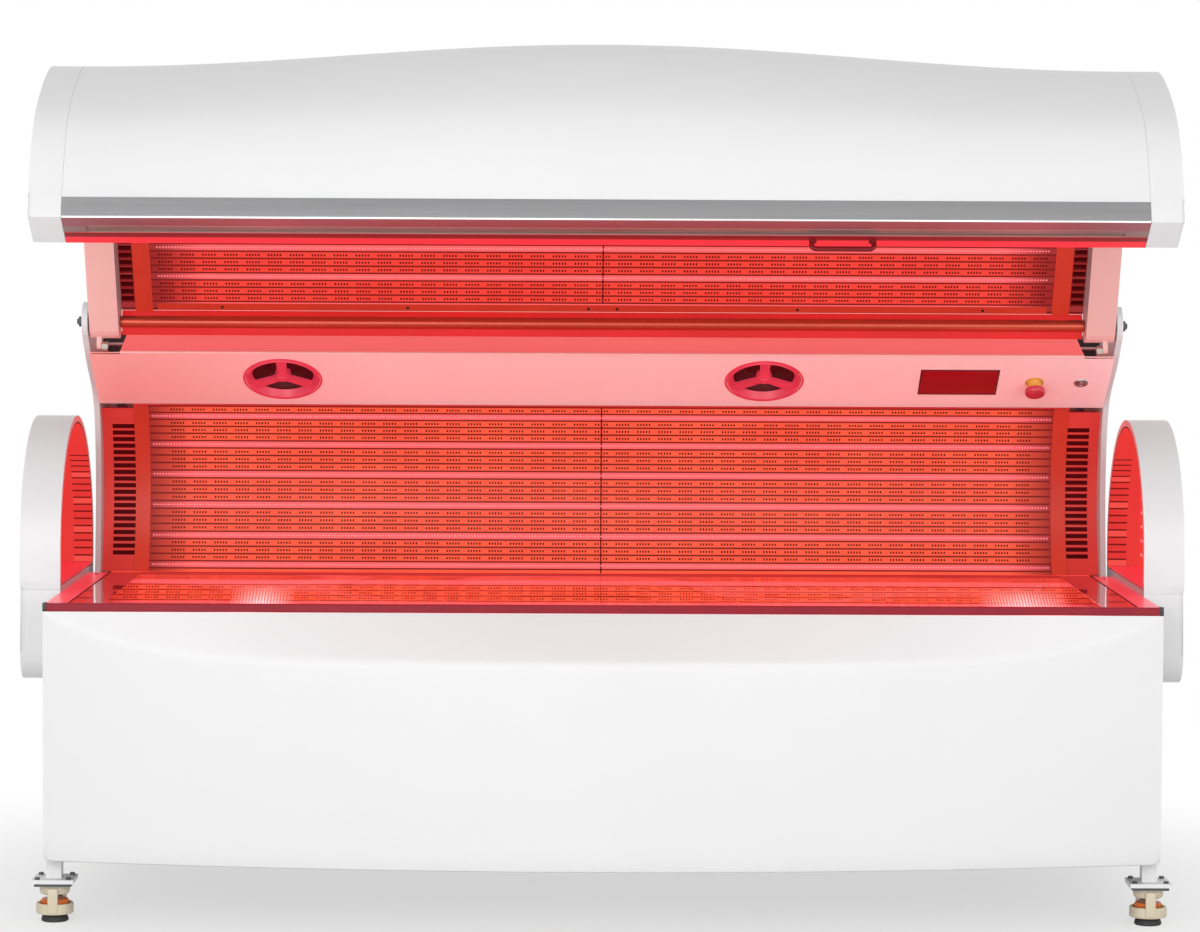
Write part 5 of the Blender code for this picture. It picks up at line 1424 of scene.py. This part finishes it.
# %% Pull handle
HANDLE_SHARE, HANDLE_OUT, HANDLE_BEND, HANDLE_RADIUS = 0.80, 0.018, 0.010, 0.0048
HANDLE_FOOT = mm((0, 0), (7.5, 0), (7.5, 2), (6, 3.5), (0, 3.5))
handle_low, handle_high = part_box("canopy_handle")
handle_x = (handle_low.x + handle_high.x) / 2
half = (handle_high.x - handle_low.x) / 2 - 0.005
half_path = [(half - 0.004, 0.0006)]
for k in range(7):
    turn = math.pi / 2 * k / 6
    half_path.append((half - HANDLE_BEND * (1 - math.cos(turn)),
                      HANDLE_OUT - HANDLE_BEND * (1 - math.sin(turn))))
path = [(handle_x - a, *on_lower_face(HANDLE_SHARE, lift)) for a, lift in half_path]
path += [(handle_x + a, *on_lower_face(HANDLE_SHARE, lift)) for a, lift in reversed(half_path)]
foot_turn = Vector((0.0, *outward)).to_track_quat("Z", "Y").to_matrix().to_4x4()
feet = [Matrix.Translation((handle_x + sign * (half - 0.003),
                            *on_lower_face(HANDLE_SHARE, 0.0005))) @ foot_turn
        for sign in (-1, 1)]
handle = built((add_tube, path, HANDLE_RADIUS), *((add_turned, HANDLE_FOOT, place, 20) for place in feet))
add_piece("pull_handle", handle, grip_red, "canopy", "handle_red", "canopy_handle")

# %% [markdown]
# ## Hinge
# A polished tube joins the two arms; its red-orange colour is a painted reflection of the lamps. A bolt with
# a washer and a nut passes through each post into its arm.

# %% Tube and bolts
ALONG = Matrix(((0, 0, 1, 0), (0, 1, 0, 0), (-1, 0, 0, 0), (0, 0, 0, 1)))
POST_FACE = 1.0885
WASHER = mm((0, 0), (14.8, 0), (15, 0.6), (14.6, 2.2), (0, 2.2))
NUT = mm((0, 2), (10.8, 2), (10.8, 8.8), (9.4, 9.8), (0, 9.8))
THREAD = mm((0, 9), (6.8, 9), (6, 12.6))
on_hinge = Matrix.Translation((0.0, hinge.y, hinge.z))
tube_low, tube_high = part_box("hinge_tube")
tube_half, tube_radius = tube_high.x, (tube_high.z - tube_low.z) / 2
tube_end = [(0.0, -tube_half), (tube_radius - 0.002, -tube_half), (tube_radius, -tube_half + 0.002),
            (tube_radius, -tube_half + 0.03)]
add_piece("cross_tube", built((add_turned, mirrored(tube_end), on_hinge @ ALONG, 48)), tube_red_reflection, "canopy",
          "aluminium", "hinge_tube")
for name, side in SIDES:
    low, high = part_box(f"hinge_pin_{name}")
    tail, tip = (abs_x - POST_FACE for abs_x in sorted((abs(low.x), abs(high.x))))
    out_along = ALONG if side > 0 else Matrix.Scale(-1, 4, (1, 0, 0)) @ ALONG
    place = on_hinge @ out_along @ Matrix.Translation((0.0, 0.0, POST_FACE))
    shank = [(0.0, tail), (0.0055, tail), (0.0055, 0.0), (0.0, 0.0)]
    bolt = built((add_turned, shank, place, 20), (add_turned, WASHER, place, 36),
                 (add_turned, NUT, place, 6),
                 (add_turned, THREAD + [(0.0034, tip - 0.0004), (0.0, tip)], place, 20))
    add_piece(f"hinge_bolt_{name}", bolt, dark_zinc, "canopy", "steel", f"hinge_pin_{name}")

# %% [markdown]
# ## Console
# Two round air vents, a dark screen, a stop button and a start button sit in the sloping console.
# Everything there is built in the slope's own directions: across, up the slope, and out of its face.

# %% Vents
VENTS = (("left", -0.6768), ("right", 0.3434))
VENT_RING = mm((77.5, -12), (77.5, 1), (76, 3), (74, 3.4), (72.5, 2.4), (71.5, 0), (64.5, -12))
VENT_HUB = mm((0, -20), (16, -20), (17.5, -6), (17, -3), (14, -1.6), (0, -1.2))
VENT_COLLAR = mm((79.5, 0.1), (83.5, 0.1), (84, 0.6), (82.5, 1.6), (80, 1.8))
SPOKE, SPOKE_TOP, SPOKE_LOW = mm((-9, 10), (9, 10), (11.5, 66.5), (-11.5, 66.5)), -0.003, -0.010
TAB = mm((-10, -4, -2), (10, 12, 4.5))
slope_low, slope_high = (Vector(p) for p in deep((0.735, 0.997), (0.555, 1.112)))
slope = (slope_high - slope_low).normalized()
face_out = Vector((0.0, -slope.y, slope.x))
across = Vector((1.0, 0.0, 0.0))
SLOPE_AXES = Matrix((across, face_out.cross(across), face_out)).transposed().to_4x4()


def on_console(x):
    return Matrix.Translation((x, *slope_low.lerp(slope_high, 0.5))) @ SLOPE_AXES


def add_spoke(bm, place):
    top, low = ([bm.verts.new(place @ Vector((a, b, z))) for a, b in SPOKE] for z in (SPOKE_TOP, SPOKE_LOW))
    join_rings(bm, top, low)
    bm.faces.new(top)
    bm.faces.new(low[::-1])


# The rotors and collars are crimson with a painted red glow from the lamps.
for name, x in VENTS:
    place = on_console(x)
    spokes = [(add_spoke, place @ Matrix.Rotation(2 * math.pi * k / 3, 4, "Z")) for k in range(3)]
    rotor = built((add_turned, VENT_RING, place, 72, True), *spokes, (add_turned, VENT_HUB, place),
                  (add_block, *TAB, 0.0015, place))
    add_piece(f"vent_{name}_rotor", rotor, vent_crimson, f"vent_{name}", "white_shell",
              f"vent_nozzle_{name}")
    collar = built((add_turned, VENT_COLLAR, place, 72, True))
    add_piece(f"vent_{name}_collar", collar, vent_crimson, "base", "white_shell")

# %% [markdown]
# The stop button is a mushroom on a yellow collar, and the start button a small metal disc in a bezel.
# Turned profiles with rounded edges give both, on the slope's axes. The screen is a thin block in a frame
# of four bars.

# %% Screen and buttons
SCREEN_X, STOP_X, START_X = 0.7561, 0.9171, 1.0161
PANE = mm((-80, -48, -6), (80, 48, 1.2))
FRAME_BARS = (((-83.5, 48.2), (83.5, 51.2)), ((-83.5, -51.2), (83.5, -48.2)),
              ((-83.5, -51.2), (-80.3, 51.2)), ((80.3, -51.2), (83.5, 51.2)))
STOP_COLLAR = mm((6.2, -16), (14, -16), (14, 0.4), (19, 0.4), (19.2, 1.2), (18.6, 2), (15.4, 2.4), (15, 3),
                 (14.6, 16.2), (13.8, 17), (6.2, 17))
MUSHROOM = mm((0, -22), (5.8, -22), (5.8, 24.5), (16, 24.5), (16.3, 19.2), (20, 18.7), (21.2, 20),
              (21.6, 24), (21.1, 27.2), (19.4, 30.2), (15, 32.4), (8.5, 33.5), (0, 33.6))
START_RING = mm((9.9, -14), (13, -14), (13, 0.4), (14.8, 0.4), (15, 1.2), (14, 2.8), (11.5, 3), (9.9, 2.4))
START_CAP = mm((0, -20), (5.8, -20), (5.8, 0.2), (9.4, 0.2), (9.5, 3), (8.5, 3.8), (6.4, 3.8), (6, 3.2),
               (5, 3.2), (4.6, 3.8), (0, 4))
place = on_console(SCREEN_X)
add_piece("screen_pane", built((add_block, *PANE, 0.001, place)), screen, "base", "dark_plastic",
          "display_screen")
bars = [(add_block, *mm((*low, 0), (*high, 1.6)), 0.0005, place) for low, high in FRAME_BARS]
add_piece("screen_frame", built(*bars), screen_edge, "base", "dark_plastic")
for name, x, profile, facets, closed, paint, body, slot, solid in (
        ("stop_collar", STOP_X, STOP_COLLAR, 48, True, stop_yellow, "base", "yellow_plastic",
         "estop_collar"),
        ("stop_mushroom", STOP_X, MUSHROOM, 48, False, stop_red, "estop", "red_plastic", "estop_head"),
        ("start_ring", START_X, START_RING, 44, True, zinc, "base", "steel", "start_bezel"),
        ("start_cap", START_X, START_CAP, 40, False, zinc, "start", "steel", "start_button")):
    add_piece(name, built((add_turned, profile, on_console(x), facets, closed)), paint, body, slot, solid)

# %% [markdown]
# ## Small edges and plates
# A pale bead along the console's front edge is a painted highlight, a thin rod with a pink glow; dark clips
# hold the front corners of the lying sheet, and a square plate sits between each leg and its caster.

# %% Console edge, sheet clips and caster plates
LEG_X, LEG_DEPTHS = 1.0851, (0.055, 0.800)
legs = [(side * LEG_X, FRONT + v) for name, side in SIDES for v in LEG_DEPTHS]
CONSOLE_EDGE, EDGE_HALF, CLIP = deep((0.5552, 1.1122))[0], 1.0116, (1.0925, 1.1008)
PLATE = mm((-36.8, -36.8, 72.8), (36.8, 36.8, 79.2))
add_piece("console_edge", built((add_rod, EDGE_HALF, CONSOLE_EDGE, 0.0022, 12)), edge_highlight_pink, "base",
          "white_metal")
clips = []
for name, side in SIDES:
    x0, x1 = sorted(on_side(side, CLIP))
    clips.append((add_block, (x0, FRONT - 0.0008, 0.6206), (x1, FRONT + 0.0180, 0.6376), 0.0012))
add_piece("sheet_clips", built(*clips), dark_plastic, "base", "dark_plastic")
plates = [(add_block, *PLATE, 0.0012, Matrix.Translation((x, y, 0.0))) for x, y in legs]
add_piece("caster_plates", built(*plates), dark_zinc, "base", "steel")

# %% [markdown]
# ## Levelling casters
# Each foot is a caster that can be lifted off its wheel: a cream body with a tab, an orange thumbwheel, and
# a black pad. Turned profiles make the round parts, and a ring of small studs makes the thumbwheel's grip.

# %% Casters
CROWN = mm((8.5, 54), (24, 54), (28, 56), (30, 61), (30, 70), (28.5, 72.4), (8.5, 72.4))
SKIRT = mm((31.2, 18), (33, 16.2), (35.5, 16.2), (37, 18), (37, 35), (35.8, 37), (32.5, 37), (31.2, 35.5))
FRONT_TAB = mm((-10, -38.8, 19), (10, -30, 69))
TYRE = mirrored(mm((0, -14), (5, -14), (5, -10.5), (15, -10.5), (19.5, -9.2), (21, -6)))
PAD = mm((0, 0), (24.5, 0), (26.8, 1.6), (27, 5.5), (25, 10.5), (21, 13), (7, 13), (7, 34.5), (0, 34.5))
STEM = mm((0, 44), (6.2, 44), (6.2, 59.2), (0, 59.2))
THUMBWHEEL = mm((0, 34), (25, 34), (26.2, 35), (26.2, 44), (25, 45), (0, 45))
GRIPS, GRIP_RADIUS, GRIP_Z = 22, 0.0262, 0.0395


def caster_frame(place, reach):
    """The cream body; reach is how far the wheel's axle lies behind the foot."""
    steps = [(add_turned, CROWN, place, 44, True), (add_turned, SKIRT, place, 44, True),
             (add_block, *FRONT_TAB, 0.0016, place)]
    for name, side in SIDES:
        x0, x1 = sorted(on_side(side, (0.0116, 0.0150)))
        steps.append((add_block, (x0, 0.020, 0.018), (x1, reach + 0.0075, 0.069), 0.0012, place))
    steps.append((add_block, (-0.013, 0.024, 0.056), (0.013, reach + 0.004, 0.068), 0.002, place))
    return built(*steps)


for corner in ("front_left", "front_right", "rear_left", "rear_right"):
    foot = sum(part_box(f"levelling_foot_{corner}"), Vector()) / 2
    wheel = sum(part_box(f"caster_wheel_{corner}"), Vector()) / 2
    place = Matrix.Translation((foot.x, foot.y, 0.0))
    hub = Matrix.Translation((foot.x, wheel.y, wheel.z)) @ ALONG
    add_piece(f"caster_{corner}_frame", caster_frame(place, wheel.y - foot.y), cream, f"caster_{corner}",
              "cream_plastic", f"caster_body_{corner}")
    add_piece(f"wheel_{corner}_tyre", built((add_turned, TYRE, hub)), rubber, f"wheel_{corner}",
              "black_plastic", f"caster_wheel_{corner}")
    pad = built((add_turned, PAD, place, 44), (add_turned, STEM, place, 24))
    add_piece(f"foot_{corner}_pad", pad, rubber, f"foot_{corner}", "rubber", f"levelling_foot_{corner}")
    thumbwheel = built((add_turned, THUMBWHEEL, place, 44))
    add_piece(f"foot_{corner}_thumbwheel", thumbwheel, thumb_orange, f"foot_{corner}", "rubber")
    grips = [((foot.x + GRIP_RADIUS * a, foot.y + GRIP_RADIUS * b, GRIP_Z), (a, b, 0.0))
             for a, b in circle(GRIPS)]
    strew(f"foot_{corner}_grips", grips, STUDS, thumb_orange, f"foot_{corner}", "rubber", Foot=0.0028,
          Top=0.0018, Height=0.0022, Corners=8)

# %% [markdown]
# ## Screws and bolts
# Small fasteners tell the eye how the sheets are held. They are all studs of one tree: bolts on the leg
# flanges, screws along the rear sheet, in the end panels and on the bed rails.

# %% Fasteners
FLANGE_TOP, BOLT_OUT = 0.087, (-0.031, 0.031)
REAR_X, REAR_IN, REAR_COLUMNS, REAR_ROWS = 1.06, 0.03, 8, 5
END_FACE, END_DEPTHS, END_HEIGHTS = 1.1005, (0.16, 0.50, 0.86), (0.17, 0.42, 0.60)
RAIL_X, RAIL_DEPTHS, RAIL_TOP = 1.078, (0.034, 0.70), 0.633
UP, BACK = (0.0, 0.0, 1.0), (0.0, 1.0, 0.0)
bolts = [((x + a, y + b, FLANGE_TOP), UP) for x, y in legs for a in BOLT_OUT for b in BOLT_OUT]
strew("flange_bolts", bolts, STUDS, dark_zinc, "base", "steel", Foot=0.0052, Top=0.0050, Height=0.0046,
      Corners=6)
rear_low, rear_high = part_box("rear_panel")
low, high = rear_low.z + REAR_IN, rear_high.z - REAR_IN
spots = [(REAR_X * (2 * k / REAR_COLUMNS - 1), z) for k in range(REAR_COLUMNS + 1) for z in (low, high)]
spots += [(side * REAR_X, low + (high - low) * k / REAR_ROWS) for k in range(1, REAR_ROWS)
          for side in (-1, 1)]
strew("rear_screws", [((x, rear_high.y, z), BACK) for x, z in spots], STUDS, zinc, "base", "steel",
      Foot=0.0060, Top=0.0042, Height=0.0024, Corners=16)
places = []
for name, side in SIDES:
    places += [((side * END_FACE, FRONT + v, z), (side, 0.0, 0.0)) for v in END_DEPTHS for z in END_HEIGHTS]
    places += [((side * RAIL_X, FRONT + v, RAIL_TOP), UP) for v in RAIL_DEPTHS]
strew("side_screws", places, STUDS, zinc, "base", "steel", Foot=0.0050, Top=0.0036, Height=0.0018,
      Corners=16)
